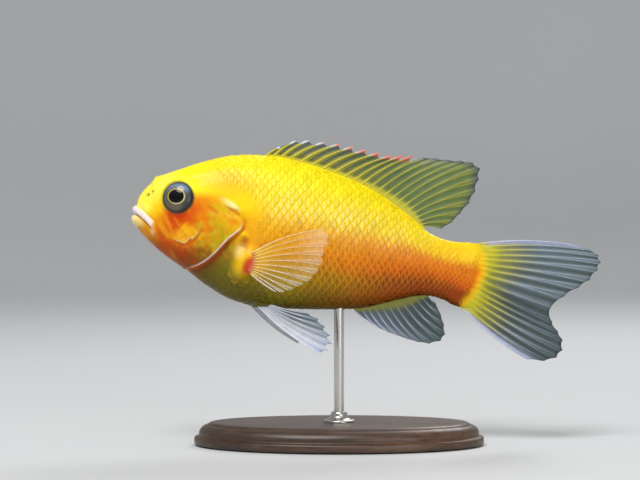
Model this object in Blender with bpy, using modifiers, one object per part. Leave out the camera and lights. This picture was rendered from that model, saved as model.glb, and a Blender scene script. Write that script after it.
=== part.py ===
# Golden cichlid, a life-size still model held by a display stand.
# The fish is modelled level, snout at the origin and tail towards +X, with its left side at -Y.
# An empty then tips it nose up and lifts it over the stand, whose underside is at z = 0.

import math

import bmesh
import bpy
import numpy as np
from mathutils import Vector

MM = 0.001

# Pose and clearances
GAP = 0.3 * MM
HALF_GAP = GAP / 2
NOSE_UP = math.radians(9.0)
SNOUT_PLACE = Vector((-65.8 * MM, 0.0, 73.0 * MM))
SWAY = 6.0 * MM
SWAY_START = 48.0 * MM
TAIL_TIP = 150.0 * MM

# Body outline, one row for each ring from the snout to the root of the tail fin:
# back x and z, belly x and z, half width, in millimetres.
BODY_RINGS = np.array([
    (1.3, 0.2, 1.3, 0.1, 0.1),
    (0.9, 3.2, 1.6, -2.8, 2.7),
    (1.2, 6.0, 3.0, -5.1, 4.0),
    (2.7, 8.8, 5.7, -7.3, 5.1),
    (4.3, 11.0, 9.0, -9.6, 6.1),
    (5.6, 13.0, 12.0, -11.4, 7.0),
    (8.6, 14.6, 15.2, -13.0, 7.8),
    (13.2, 17.0, 19.9, -15.3, 8.9),
    (20.2, 20.5, 27.0, -19.0, 10.1),
    (28.6, 23.6, 35.0, -22.0, 10.9),
    (39.1, 25.2, 45.0, -22.9, 11.2),
    (50.5, 24.7, 56.0, -21.8, 10.8),
    (64.0, 22.4, 67.0, -20.2, 9.6),
    (75.1, 19.2, 76.5, -18.2, 7.9),
    (86.5, 13.6, 86.5, -14.2, 5.9),
    (94.5, 9.1, 94.0, -11.4, 4.5),
    (101.0, 7.6, 100.5, -11.1, 3.5),
    (110.2, 8.0, 107.0, -12.8, 2.2),
]) * MM
LAST_RING = len(BODY_RINGS) - 1
RINGS_PER_SPAN = 3
RING_SIDES = 32
HEAD_CROWN = 0.85
TRUNK_CROWN = 1.12
BELLY_FULLNESS = 0.88
CROWN_SPAN = (6.0, 10.0)
HEAD_END = 11.0
TRUNK_START = 5.0
STEM_START = 13.0
BROW_RING = 3.0

# Thin cuts that part the body, as two points of each cut in the side view
GILL_CUT = (Vector((31.0, 24.0)) * MM, Vector((20.3, -14.8)) * MM)
TAIL_CUT = (Vector((92.6, 10.0)) * MM, Vector((97.8, -11.2)) * MM)

# Mouth and jaw, in the side view
MOUTH_CORNER = Vector((7.5, -3.1)) * MM
MOUTH_OPEN = 0.8 * MM
MOUTH_REACH = Vector((-6.0, 3.3)) * MM
JAW_HEEL = Vector((12.4, -13.5)) * MM
JAW_FRONT = -4.0 * MM
CUTTER_REACH = 20.0 * MM
LIP_DEPTH = 7.3 * MM
LIP_SETBACK = 0.2 * MM
LIP_HALF_WIDTH = 5.9 * MM
LIP_BLUNTNESS = 0.8
LIP_ARCH = 1.5
LIP_CORNER_LIFT = 0.35
LIP_CORNER_SHARE = 0.55
LIP_TAPER = 2.5
UPPER_LIP = {"rise": 3.9 * MM, "lift": 0.9 * MM, "radius": 1.15 * MM}
LOWER_LIP = {"rise": 2.4 * MM, "lift": -1.2 * MM, "radius": 1.15 * MM}
LIP_STEPS = 14

# Eyes, given by the half axes of a flattened ball, and nostrils
EYE_AT = (13.85 * MM, 7.5 * MM)
EYE_RADIUS = 5.6 * MM
EYE_THICKNESS = 2.8 * MM
EYE_PROUD = 1.4 * MM
NOSTRILS = ((4.4 * MM, 6.9 * MM), (5.7 * MM, 8.1 * MM))
NOSTRIL_RADIUS = 0.4 * MM
NOSTRIL_DEPTH = 0.9 * MM

# Gill cover, one row for each level from the throat up: z, front x, rear x, in millimetres
GILL_ROWS = np.array([
    (-14.0, 18.6, 21.0),
    (-12.4, 18.9, 24.6),
    (-9.4, 19.6, 27.7),
    (-6.0, 20.6, 30.2),
    (-3.0, 21.4, 32.4),
    (-0.4, 22.1, 35.2),
    (2.4, 22.7, 36.1),
    (4.8, 23.4, 35.4),
    (6.9, 24.8, 33.2),
    (8.2, 27.0, 30.8),
]) * MM
GILL_COLUMNS = 9
GILL_LEVELS = 14
GILL_DEPTH = 1.3 * MM
GILL_EDGE_LIFT = 0.75 * MM
GILL_CUTTER = 5.0 * MM

# Fins: rays as ridges on a thin membrane
FIN_ROWS = 6
RAY_FOOT = 0.24
FIN_THICK = 1.3 * MM
MEMBRANE = 0.5 * MM
SOFT_RAY = 0.95 * MM
SPINE = 1.25 * MM
TIP_SHARE = 0.6
FIN_WAVE = 1.1 * MM
WAVE_LENGTH = 42.0 * MM
DORSAL_FIN = {
    "base": [
        39.4, 41.5, 44.0, 46.7, 50.3, 54.0, 57.6, 61.2, 64.8, 67.9, 70.6, 73.2,
        75.6, 77.9, 80.0, 82.0, 83.9, 85.6, 87.2, 88.6, 89.9, 91.0, 91.9,
    ],
    "tips": [
        (43.2, 28.3), (47.6, 30.9), (51.6, 31.8), (56.7, 32.0), (61.6, 32.2), (66.0, 31.9),
        (70.3, 31.6), (74.8, 31.4), (78.8, 31.2), (82.2, 31.7), (85.4, 32.2), (89.0, 32.4),
        (93.0, 32.7), (97.1, 32.9), (101.2, 33.2), (104.6, 33.2), (107.2, 31.7), (107.3, 28.2),
        (106.8, 24.3), (105.4, 20.2), (103.2, 16.6), (100.9, 13.3), (98.0, 10.9),
    ],
    "spines": 11, "bow": (0.05, 0.05), "notch": (0.07, 0.02),
}
ANAL_FIN = {
    "base": [74.6, 76.6, 78.6, 80.6, 82.6, 84.6, 86.6, 88.6, 90.6, 92.7, 94.8, 96.9],
    "tips": [
        (79.8, -21.9), (82.9, -23.4), (86.0, -24.4), (89.5, -25.1), (93.0, -25.7), (96.5, -26.1),
        (100.0, -26.0), (103.3, -24.6), (104.4, -22.3), (103.6, -19.3), (102.1, -16.3),
        (99.8, -12.9),
    ],
    "spines": 3, "bow": (-0.06, -0.06), "notch": (0.06, 0.02),
}
TAIL_UPPER_LOBE = {
    "base": [(110.7, 7.9), (110.1, 4.4), (109.6, 1.0), (109.1, -2.5)],
    "tips": [
        (141.5, 12.3), (146.6, 11.6), (149.4, 10.3), (150.5, 8.2), (149.9, 5.6),
        (147.9, 2.1), (144.8, -0.9), (140.6, -4.4), (136.6, -8.8),
    ],
    "spines": 1, "bow": (0.04, -0.005), "notch": (0.02, 0.015),
}
TAIL_LOWER_LOBE = {
    "base": [(109.0, -3.0), (108.5, -6.2), (108.0, -9.5), (107.5, -12.6)],
    "tips": [
        (136.6, -9.6), (138.0, -13.1), (140.4, -15.9), (142.3, -18.4), (142.7, -21.6),
        (141.2, -24.2), (137.4, -25.9), (132.0, -26.2),
    ],
    "spines": 1, "bow": (-0.005, -0.04), "notch": (0.02, 0.015),
}
PECTORAL_FIN = {
    "base": [(38.6, -7.4), (39.2, -9.0), (39.8, -10.8), (40.4, -12.4)],
    "tips": [
        (60.8, 4.7), (63.2, 3.1), (62.9, 0.3), (62.3, -2.6), (62.2, -5.6), (61.2, -8.5),
        (59.3, -11.4), (56.8, -13.6), (53.9, -15.4), (51.4, -16.6), (48.8, -16.7), (46.0, -15.6),
    ],
    "spines": 1, "bow": (0.06, -0.03), "notch": (0.03, 0.03),
}
PECTORAL_ROOT = {"at": (38.4, -9.8), "sizes": (2.5, 2.0, 4.3), "lean": 24.0}
PECTORAL_SPLAY = {"out": (0.44, 0.04), "curl": 0.004}
PECTORAL_OFFSET = 0.9 * MM
PELVIC_FIN = {
    "base": [(43.4, -21.7), (45.2, -21.5), (47.2, -21.3)],
    "tips": [
        (65.8, -33.7), (68.2, -32.6), (69.2, -30.2), (68.2, -27.8), (66.2, -25.4),
        (63.6, -23.4), (60.4, -22.2),
    ],
    "spines": 1, "bow": (-0.05, -0.02), "notch": (0.04, 0.03),
}
PELVIC_ROOT = {"at": (45.3, -21.6), "sizes": (3.8, 1.5, 1.9), "side": 3.4}
PELVIC_SPLAY = {"out": (0.30, -0.12), "curl": 0.003}
FAR_PELVIC = {"swing": math.radians(3.5), "ahead": 3.4 * MM, "scale": 0.84}

# Display stand
BASE_LENGTH = 92.0 * MM
BASE_WIDTH = 54.0 * MM
BASE_HEIGHT = 7.0 * MM
BASE_BEVEL = 1.4 * MM
ROD_RADIUS = 1.6 * MM
COLLAR_RADIUS = 5.0 * MM
COLLAR_HEIGHT = 3.0 * MM
COLLAR_PROFILE = (
    (0.0, 1.0), (0.26, 1.0), (0.39, 0.55), (0.84, 0.23), (1.0, 0.13), (1.0, 0.0), (0.0, 0.0),
)

SHARP_ANGLE = math.radians(40)

# Colour, roughness and metallic value of each finish
FINISHES = {
    "golden_skin": ((0.95, 0.62, 0.05), 0.35, 0.0),
    "gill_skin": ((0.80, 0.55, 0.06), 0.3, 0.0),
    "jaw_skin": ((0.90, 0.60, 0.22), 0.35, 0.0),
    "fin_membrane": ((0.55, 0.62, 0.58), 0.35, 0.0),
    "eye": ((0.10, 0.13, 0.15), 0.08, 0.0),
    "stand_wood": ((0.13, 0.07, 0.04), 0.35, 0.0),
    "stand_metal": ((0.62, 0.60, 0.56), 0.25, 1.0),
}


def clear_scene():
    for old in list(bpy.data.objects):
        bpy.data.objects.remove(old)


def new_collection(name):
    collection = bpy.data.collections.new(name)
    bpy.context.scene.collection.children.link(collection)
    return collection


def make_finish(name):
    colour, roughness, metallic = FINISHES[name]
    material = bpy.data.materials.new(name)
    material.use_nodes = True
    shader = material.node_tree.nodes["Principled BSDF"]
    shader.inputs["Base Color"].default_value = (*colour, 1.0)
    shader.inputs["Roughness"].default_value = roughness
    shader.inputs["Metallic"].default_value = metallic
    return material


# Curves and the body's surface

def spline(points, share):
    # A smooth curve through evenly spaced points, read at a share of its length from 0 to 1.
    points = np.asarray(points, float)
    place = min(max(share, 0.0), 1.0) * (len(points) - 1)
    i = min(int(place), len(points) - 2)
    f = place - i
    p1, p2 = points[i], points[i + 1]
    p0 = points[i - 1] if i > 0 else 2 * p1 - p2
    p3 = points[i + 2] if i + 2 < len(points) else 2 * p2 - p1
    square = 2 * p0 - 5 * p1 + 4 * p2 - p3
    cube = 3 * p1 - p0 - 3 * p2 + p3
    return 0.5 * (2 * p1 + (p2 - p0) * f + square * f ** 2 + cube * f ** 3)


def sway(x):
    # The midline drifts to the far side behind the belly, as in a slow stroke of the tail.
    behind = max(0.0, x - SWAY_START) / (TAIL_TIP - SWAY_START)
    return SWAY * behind ** 2


def section(t):
    # Back point, belly point and half width of the body's section at ring number t.
    row = spline(BODY_RINGS, t / LAST_RING)
    return Vector(row[0:2]), Vector(row[2:4]), row[4]


def roundness(t, rising):
    # Exponent that narrows the back into a ridge behind the head and keeps the belly full.
    if not rising:
        return BELLY_FULLNESS
    start, end = CROWN_SPAN
    blend = min(max((t - start) / (end - start), 0.0), 1.0)
    return HEAD_CROWN + (TRUNK_CROWN - HEAD_CROWN) * blend


def body_point(t, angle, grow=0.0):
    # A point of the skin on ring t; angle runs from the back down the far side to the belly and up.
    top, bottom, half_width = section(t)
    half = (top - bottom) / 2
    middle = (top + bottom) / 2
    rise = math.cos(angle)
    out = math.copysign(abs(math.sin(angle)) ** roundness(t, rise > 0), math.sin(angle))
    spot = middle + half.normalized() * (half.length + grow) * rise
    return Vector((spot.x, (half_width + grow) * out + sway(spot.x), spot.y))


def flank(x, z):
    # Half width of the body at a point of its side view.
    point = Vector((x, z))
    low, high = 0.0, float(LAST_RING)
    for _ in range(30):
        t = (low + high) / 2
        top, bottom, half_width = section(t)
        down = bottom - top
        ahead = point - top
        if down.x * ahead.y - down.y * ahead.x > 0:
            low = t
        else:
            high = t
    half = (top - bottom) / 2
    rise = (point - (top + bottom) / 2).dot(half.normalized()) / half.length
    rise = min(max(rise, -1.0), 1.0)
    return half_width * math.sqrt(1 - rise ** 2) ** roundness(t, rise > 0)


def edge_height(x, column):
    # Height of the back (column 0) or the belly (column 2) at x.
    low, high = BROW_RING, float(LAST_RING)
    for _ in range(30):
        t = (low + high) / 2
        row = spline(BODY_RINGS, t / LAST_RING)
        if row[column] < x:
            low = t
        else:
            high = t
    return row[column + 1]


# Making and joining objects

def add_object(name, bm, collection, finish=None):
    bm.normal_update()
    bmesh.ops.recalc_face_normals(bm, faces=bm.faces)
    mesh = bpy.data.meshes.new(name)
    bm.to_mesh(mesh)
    bm.free()
    return add_mesh(name, mesh, collection, finish)


def add_mesh(name, mesh, collection, finish=None):
    obj = bpy.data.objects.new(name, mesh)
    collection.objects.link(obj)
    if finish:
        mesh.materials.clear()
        mesh.materials.append(finish)
    else:
        obj.hide_render = True
        obj.display_type = "WIRE"
    return obj


def loft(rings):
    # Skins a row of rings with the same number of points and caps both ends.
    bm = bmesh.new()
    loops = [[bm.verts.new(point) for point in ring] for ring in rings]
    count = len(loops[0])
    for near, far in zip(loops, loops[1:]):
        for k in range(count):
            after = (k + 1) % count
            bm.faces.new((near[k], near[after], far[after], far[k]))
    bm.faces.new(loops[0])
    bm.faces.new(loops[-1])
    return bm


def body_loft(start, end, grow=0.0):
    steps = round((end - start) * RINGS_PER_SPAN)
    rings = []
    for i in range(steps + 1):
        t = start + (end - start) * i / steps
        angles = [2 * math.pi * k / RING_SIDES for k in range(RING_SIDES)]
        rings.append([body_point(t, angle, grow) for angle in angles])
    return loft(rings)


def keep_side(bm, cut, forward, shift):
    # Keeps what lies in front of a slanted cut, or behind it, and closes the cut face.
    top, bottom = cut
    across = (top - bottom).normalized()
    normal = Vector((across.y, 0.0, -across.x))
    if not forward:
        normal = -normal
    start = Vector((top.x, 0.0, top.y)) - normal * shift
    geometry = bm.verts[:] + bm.edges[:] + bm.faces[:]
    found = bmesh.ops.bisect_plane(
        bm, geom=geometry, plane_co=start, plane_no=normal, clear_outer=True
    )
    edges = [piece for piece in found["geom_cut"] if isinstance(piece, bmesh.types.BMEdge)]
    bmesh.ops.edgeloop_fill(bm, edges=edges)


def prism(outline, half_depth):
    # A flat side-view outline pulled out evenly to both sides.
    near = [Vector((x, -half_depth, z)) for x, z in outline]
    far = [Vector((x, half_depth, z)) for x, z in outline]
    return loft([near, far])


def evaluated_mesh(obj):
    bpy.context.view_layer.update()
    graph = bpy.context.evaluated_depsgraph_get()
    return bpy.data.meshes.new_from_object(obj.evaluated_get(graph))


def combine(obj, others, operation):
    # Joins the other closed meshes to obj, or cuts them from it, and removes them.
    for other in others:
        tool = obj.modifiers.new("combine", "BOOLEAN")
        tool.operation = operation
        tool.object = other
        tool.solver = "EXACT"
    obj.data = evaluated_mesh(obj)
    obj.modifiers.clear()
    for other in others:
        bpy.data.objects.remove(other)


def keep_largest(obj):
    # Drops every loose scrap, so that the node stays one closed surface.
    bm = bmesh.new()
    bm.from_mesh(obj.data)
    left = set(bm.verts)
    shells = []
    while left:
        stack = [left.pop()]
        shell = set(stack)
        while stack:
            for edge in stack.pop().link_edges:
                for vert in edge.verts:
                    if vert in left:
                        left.remove(vert)
                        shell.add(vert)
                        stack.append(vert)
        shells.append(shell)
    largest = max(shells, key=len)
    scraps = [vert for vert in bm.verts if vert not in largest]
    bmesh.ops.delete(bm, geom=scraps, context="VERTS")
    bm.to_mesh(obj.data)
    bm.free()


def shade(obj):
    obj.data.shade_smooth()
    obj.data.set_sharp_from_angle(angle=SHARP_ANGLE)


# Head

def lip_tube(lip, radius, collection):
    # A tapered roll that runs round the snout from one corner of the mouth to the other.
    curve = bpy.data.curves.new("lip", "CURVE")
    curve.dimensions = "3D"
    curve.bevel_depth = radius
    curve.bevel_resolution = 2
    curve.use_fill_caps = True
    path = curve.splines.new("POLY")
    path.points.add(LIP_STEPS)
    for i, point in enumerate(path.points):
        turn = math.pi * (i / LIP_STEPS - 0.5)
        forward = math.cos(turn)
        lift = lip["lift"] * (LIP_CORNER_LIFT + (1 - LIP_CORNER_LIFT) * forward)
        x = MOUTH_CORNER.x - LIP_SETBACK - (LIP_DEPTH - radius) * forward
        y = math.copysign(abs(math.sin(turn)) ** LIP_BLUNTNESS, turn) * LIP_HALF_WIDTH
        z = MOUTH_CORNER.y + lift + lip["rise"] * forward ** LIP_ARCH
        point.co = (x, y, z, 1.0)
        full = min(1.0, forward * LIP_TAPER)
        point.radius = LIP_CORNER_SHARE + (1 - LIP_CORNER_SHARE) * full
    tube = bpy.data.objects.new("lip_path", curve)
    collection.objects.link(tube)
    mesh = evaluated_mesh(tube)
    bpy.data.objects.remove(tube)
    bm = bmesh.new()
    bm.from_mesh(mesh)
    bmesh.ops.remove_doubles(bm, verts=bm.verts, dist=0.0001 * MM)
    return add_object("lip", bm, collection)


def jaw_outline(drop):
    # The lower jaw's region in the side view, with its upper edge lowered at the front by drop.
    tip = MOUTH_CORNER + MOUTH_REACH - Vector((0.0, drop))
    return [
        (JAW_FRONT, tip.y), tuple(tip), tuple(MOUTH_CORNER),
        tuple(JAW_HEEL), (JAW_HEEL.x, -CUTTER_REACH), (JAW_FRONT, -CUTTER_REACH),
    ]


def shrunk(outline, distance):
    # Moves each side of a side-view outline inwards by the same distance.
    count = len(outline)
    corners = [Vector(point) for point in outline]
    area = sum(
        corners[i].x * corners[(i + 1) % count].y - corners[(i + 1) % count].x * corners[i].y
        for i in range(count)
    )
    turn = 1.0 if area > 0 else -1.0
    moved = []
    for i in range(count):
        before = (corners[i] - corners[i - 1]).normalized()
        after = (corners[(i + 1) % count] - corners[i]).normalized()
        inward = Vector((-before.y - after.y, before.x + after.x)) * turn
        lean = 1 + before.dot(after)
        moved.append(tuple(corners[i] + inward / lean * distance))
    return moved


def skin_normal(x, z, step=1.5 * MM):
    # The way the skin faces on the +Y side at a point of the side view.
    slope_x = (flank(x + step, z) - flank(x - step, z)) / (2 * step)
    slope_z = (flank(x, z + step) - flank(x, z - step)) / (2 * step)
    return Vector((-slope_x, 1.0, -slope_z)).normalized()


def eye_ball(side, grow, collection, finish=None):
    # A flattened ball that faces the way the skin does.
    x, z = EYE_AT
    facing = skin_normal(x, z)
    turn = Vector((0.0, 0.0, 1.0)).rotation_difference(facing)
    centre = Vector((x, flank(x, z), z)) + facing * (EYE_PROUD - EYE_THICKNESS)
    size = Vector((EYE_RADIUS + grow, EYE_RADIUS + grow, EYE_THICKNESS + grow))
    bm = bmesh.new()
    bmesh.ops.create_uvsphere(bm, u_segments=24, v_segments=12, radius=1.0)
    for vert in bm.verts:
        spot = centre + turn @ Vector(vert.co[i] * size[i] for i in range(3))
        vert.co = Vector((spot.x, side * spot.y, spot.z))
    return add_object("eye_right" if side > 0 else "eye_left", bm, collection, finish)


def nostril_pit(side, x, z, collection):
    bm = bmesh.new()
    bmesh.ops.create_cone(
        bm, cap_ends=True, segments=10, radius1=NOSTRIL_RADIUS, radius2=NOSTRIL_RADIUS,
        depth=NOSTRIL_DEPTH * 4,
    )
    y = side * (flank(x, z) + NOSTRIL_DEPTH)
    for vert in bm.verts:
        vert.co = Vector((x + vert.co.x, y + vert.co.z, z + vert.co.y))
    return add_object("pit", bm, collection)


def gill_patch(side, inner, outer, grow, edge_lift):
    # A curved slab over the gills: inner and outer are its depths from the skin.
    rings = []
    lowest, highest = GILL_ROWS[0, 0], GILL_ROWS[-1, 0]
    for level in range(GILL_LEVELS + 1):
        share = level / GILL_LEVELS
        z, front, rear = spline(GILL_ROWS, share)
        z += grow * (2 * (z - lowest) / (highest - lowest) - 1)
        front -= grow
        rear += grow
        lower, upper = [], []
        for column in range(GILL_COLUMNS + 1):
            reach = column / GILL_COLUMNS
            x = front + (rear - front) * reach
            skin = flank(x, z)
            lift = outer + edge_lift * reach ** 3
            upper.append(Vector((x, side * (skin + lift), z)))
            lower.append(Vector((x, side * (skin - inner), z)))
        rings.append(upper + lower[::-1])
    return loft(rings)


def make_head(fish, workshop, finishes):
    def headblock(name, finish):
        bm = body_loft(0.0, HEAD_END)
        keep_side(bm, GILL_CUT, True, HALF_GAP)
        block = add_object(name, bm, fish, finish)
        lips = [lip_tube(lip, lip["radius"], workshop) for lip in (UPPER_LIP, LOWER_LIP)]
        combine(block, lips, "UNION")
        return block

    head = headblock("head", finishes["golden_skin"])
    cutters = [add_object("jaw_space", prism(jaw_outline(0.0), CUTTER_REACH), workshop)]
    for side in (-1, 1):
        cutters.append(eye_ball(side, GAP, workshop))
        cutters.append(gill_recess(side, workshop))
        for x, z in NOSTRILS:
            cutters.append(nostril_pit(side, x, z, workshop))
    combine(head, cutters, "DIFFERENCE")
    keep_largest(head)

    jaw = headblock("lower_jaw", finishes["jaw_skin"])
    region = shrunk(jaw_outline(MOUTH_OPEN), GAP)
    combine(jaw, [add_object("jaw_region", prism(region, CUTTER_REACH), workshop)], "INTERSECT")
    keep_largest(jaw)

    for side, word in ((-1, "left"), (1, "right")):
        eye = eye_ball(side, 0.0, fish, finishes["eye"])
        eye.name = "eye_" + word
        cover = gill_patch(side, GILL_DEPTH, 0.0, 0.0, GILL_EDGE_LIFT)
        add_object("gill_cover_" + word, cover, fish, finishes["gill_skin"])


def gill_recess(side, collection):
    slab = gill_patch(side, GILL_DEPTH + GAP, GILL_CUTTER, GAP, 0.0)
    return add_object("gill_space", slab, collection)


# Trunk

def make_trunk(fish, workshop, finishes):
    bm = body_loft(TRUNK_START, LAST_RING)
    keep_side(bm, GILL_CUT, False, HALF_GAP)
    keep_side(bm, TAIL_CUT, True, HALF_GAP)
    torso = add_object("torso", bm, fish, finishes["golden_skin"])
    combine(torso, [gill_recess(side, workshop) for side in (-1, 1)], "DIFFERENCE")
    keep_largest(torso)

    bm = body_loft(STEM_START, LAST_RING)
    keep_side(bm, TAIL_CUT, False, HALF_GAP)
    add_object("tail_stem", bm, fish, finishes["golden_skin"])


# Fins

def ray_point(fin, base_at, ray, v):
    # A point v of the way along a ray, which bows from its root to its tip.
    share = ray / (len(fin["tips"]) - 1)
    root = base_at(share)
    tip = Vector(spline(fin["tips"], share)) * MM
    along = tip - root
    first, last = fin["bow"]
    bow = first + (last - first) * share
    bend = root + along / 2 + Vector((-along.y, along.x)) * bow * 2
    return root * (1 - v) ** 2 + bend * 2 * v * (1 - v) + tip * v ** 2


def ray_thickness(fin, ray, crest, v):
    if not crest:
        return MEMBRANE
    full = SPINE if ray < fin["spines"] else SOFT_RAY
    return full * (1 - (1 - TIP_SHARE) * v)


def fin_sheet(name, fin, base_at, place, collection, finish=None):
    # A grid of rays and membranes, given its thickness by Solidify: three columns from ray to ray.
    last_ray = len(fin["tips"]) - 1
    columns = 3 * last_ray
    steps = (0.0, RAY_FOOT, 1.0 - RAY_FOOT)
    bm = bmesh.new()
    bmesh.ops.create_grid(bm, x_segments=columns, y_segments=FIN_ROWS, size=0.5)
    weights = bm.verts.layers.deform.verify()
    for vert in bm.verts:
        column = round((vert.co.x + 0.5) * columns)
        v = round((vert.co.y + 0.5) * FIN_ROWS) / FIN_ROWS
        crest = column % 3 == 0
        ray = column // 3 + steps[column % 3]
        notch = 0.0 if crest else fin["notch"][ray >= fin["spines"]]
        vert.co = place(ray_point(fin, base_at, ray, v * (1 - notch)), v)
        vert[weights][0] = ray_thickness(fin, ray, crest, v) / FIN_THICK
    bmesh.ops.triangulate(bm, faces=bm.faces)
    sheet = add_object(name, bm, collection, finish)
    sheet.vertex_groups.new(name="thickness")
    solid = sheet.modifiers.new("thickness", "SOLIDIFY")
    solid.thickness = FIN_THICK
    solid.offset = 0.0
    solid.vertex_group = "thickness"
    sheet.data = evaluated_mesh(sheet)
    sheet.modifiers.clear()
    return sheet


def on_midline(spot, v):
    # A median fin follows the swaying midline and ripples towards its free edge.
    ripple = FIN_WAVE * v ** 1.5 * math.sin(2 * math.pi * spot.x / WAVE_LENGTH)
    return Vector((spot.x, sway(spot.x) + ripple, spot.y))


def back_base(fin, column, gap):
    def base_at(share):
        x = float(spline([(x, 0.0) for x in fin["base"]], share)[0]) * MM
        return Vector((x, edge_height(x, column) + gap))
    return base_at


def guide_base(fin):
    return lambda share: Vector(spline(fin["base"], share)) * MM


def splayed(away, splay):
    # How far a paired fin stands out from its root, flat at first and curling back to its edge.
    return away.dot(Vector(splay["out"])) - splay["curl"] / MM * away.length_squared


def root_lobe(at, sizes, lean, side_at, collection):
    # The fleshy pad that a paired fin grows from.
    bm = bmesh.new()
    bmesh.ops.create_uvsphere(bm, u_segments=14, v_segments=8, radius=1.0)
    turn = math.radians(lean)
    for vert in bm.verts:
        x, y, z = (vert.co[i] * sizes[i] * MM for i in range(3))
        vert.co = Vector((
            at[0] * MM + x * math.cos(turn) + z * math.sin(turn),
            side_at + y,
            at[1] * MM - x * math.sin(turn) + z * math.cos(turn),
        ))
    return add_object("root", bm, collection)


def make_paired_fin(name, fin, place, root, fish, workshop, finish):
    # Membrane and root pad in one solid, cut back from the skin by the gap.
    sheet = fin_sheet(name, fin, guide_base(fin), place, fish, finish)
    combine(sheet, [root], "UNION")
    body = add_object("body_space", body_loft(TRUNK_START, LAST_RING, GAP), workshop)
    combine(sheet, [body], "DIFFERENCE")
    keep_largest(sheet)
    return sheet


def make_pectoral(side, word, fish, workshop, finish):
    at = Vector(PECTORAL_ROOT["at"]) * MM
    skin = flank(at.x, at.y)

    def place(spot, v):
        y = skin + PECTORAL_OFFSET + splayed(spot - at, PECTORAL_SPLAY)
        return Vector((spot.x, side * y, spot.y))

    root = root_lobe(
        PECTORAL_ROOT["at"], PECTORAL_ROOT["sizes"], PECTORAL_ROOT["lean"],
        side * skin, workshop,
    )
    name = "pectoral_fin_" + word
    make_paired_fin(name, PECTORAL_FIN, place, root, fish, workshop, finish)


def make_pelvic(side, word, swing, ahead, scale, fish, workshop, finish):
    # The far fin stands a little ahead of the near one, so that its front edge shows.
    at = Vector(PELVIC_ROOT["at"]) * MM
    hinge = at - Vector((ahead, 0.0))
    start = PELVIC_ROOT["side"] * MM

    def place(spot, v):
        away = (spot - at) * scale
        turned = Vector((
            away.x * math.cos(swing) + away.y * math.sin(swing),
            -away.x * math.sin(swing) + away.y * math.cos(swing),
        ))
        y = start + splayed(turned, PELVIC_SPLAY)
        return Vector((hinge.x + turned.x, side * y, hinge.y + turned.y))

    root = root_lobe(hinge / MM, PELVIC_ROOT["sizes"], 0.0, side * start, workshop)
    make_paired_fin("pelvic_fin_" + word, PELVIC_FIN, place, root, fish, workshop, finish)


def make_fins(fish, workshop, finishes):
    finish = finishes["fin_membrane"]
    dorsal_base = back_base(DORSAL_FIN, 0, GAP)
    fin_sheet("dorsal_fin", DORSAL_FIN, dorsal_base, on_midline, fish, finish)
    anal_base = back_base(ANAL_FIN, 2, -GAP)
    fin_sheet("anal_fin", ANAL_FIN, anal_base, on_midline, fish, finish)
    for name, lobe in (("upper", TAIL_UPPER_LOBE), ("lower", TAIL_LOWER_LOBE)):
        fin_sheet(f"tail_fin_{name}_lobe", lobe, guide_base(lobe), on_midline, fish, finish)
    for side, word in ((-1, "left"), (1, "right")):
        make_pectoral(side, word, fish, workshop, finish)
    make_pelvic(-1, "left", 0.0, 0.0, 1.0, fish, workshop, finish)
    far = FAR_PELVIC
    make_pelvic(1, "right", far["swing"], far["ahead"], far["scale"], fish, workshop, finish)


# Stand

def make_stand(stand, finishes, rod_top):
    bpy.ops.mesh.primitive_cylinder_add(vertices=56, radius=0.5, depth=BASE_HEIGHT)
    base = bpy.context.object
    base.name = "stand_base"
    base.scale = (BASE_LENGTH, BASE_WIDTH, 1.0)
    base.location = (0.0, 0.0, BASE_HEIGHT / 2)
    bpy.ops.object.transform_apply(location=False, rotation=False, scale=True)
    bevel = base.modifiers.new("edge", "BEVEL")
    bevel.width = BASE_BEVEL
    bevel.segments = 2
    bevel.limit_method = "ANGLE"
    base.data.materials.append(finishes["stand_wood"])

    bpy.ops.mesh.primitive_cylinder_add(
        vertices=24, radius=ROD_RADIUS, depth=rod_top - BASE_HEIGHT - GAP
    )
    rod = bpy.context.object
    rod.name = "stand_rod"
    rod.location = (0.0, 0.0, (rod_top + BASE_HEIGHT + GAP) / 2)
    rod.data.materials.append(finishes["stand_metal"])

    inner = ROD_RADIUS + GAP
    low = BASE_HEIGHT + GAP
    bm = bmesh.new()
    points = [
        bm.verts.new((inner + (COLLAR_RADIUS - inner) * out, 0.0, low + COLLAR_HEIGHT * up))
        for out, up in COLLAR_PROFILE
    ]
    for i in range(len(points)):
        bm.edges.new((points[i], points[(i + 1) % len(points)]))
    mesh = bpy.data.meshes.new("stand_collar")
    bm.to_mesh(mesh)
    bm.free()
    collar = add_mesh("stand_collar", mesh, stand, finishes["stand_metal"])
    turn = collar.modifiers.new("turned", "SCREW")
    turn.steps = turn.render_steps = 32
    turn.use_merge_vertices = True
    turn.merge_threshold = 0.00001
    for obj in (base, rod):
        for home in obj.users_collection:
            home.objects.unlink(obj)
        stand.objects.link(obj)


def to_world(point):
    # Where a point of the level fish lies once the fish is tipped nose up on its stand.
    x = point.x * math.cos(NOSE_UP) + point.z * math.sin(NOSE_UP)
    z = point.z * math.cos(NOSE_UP) - point.x * math.sin(NOSE_UP)
    return SNOUT_PLACE + Vector((x, point.y, z))


def belly_over_rod():
    # Lowest height of the belly within the rod's width, in the world.
    heights = []
    for i in range(400):
        x = i / 400 * TAIL_TIP * 0.7
        spot = to_world(Vector((x, 0.0, edge_height(x, 2))))
        if abs(spot.x) < ROD_RADIUS:
            heights.append(spot.z)
    return min(heights)


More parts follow.
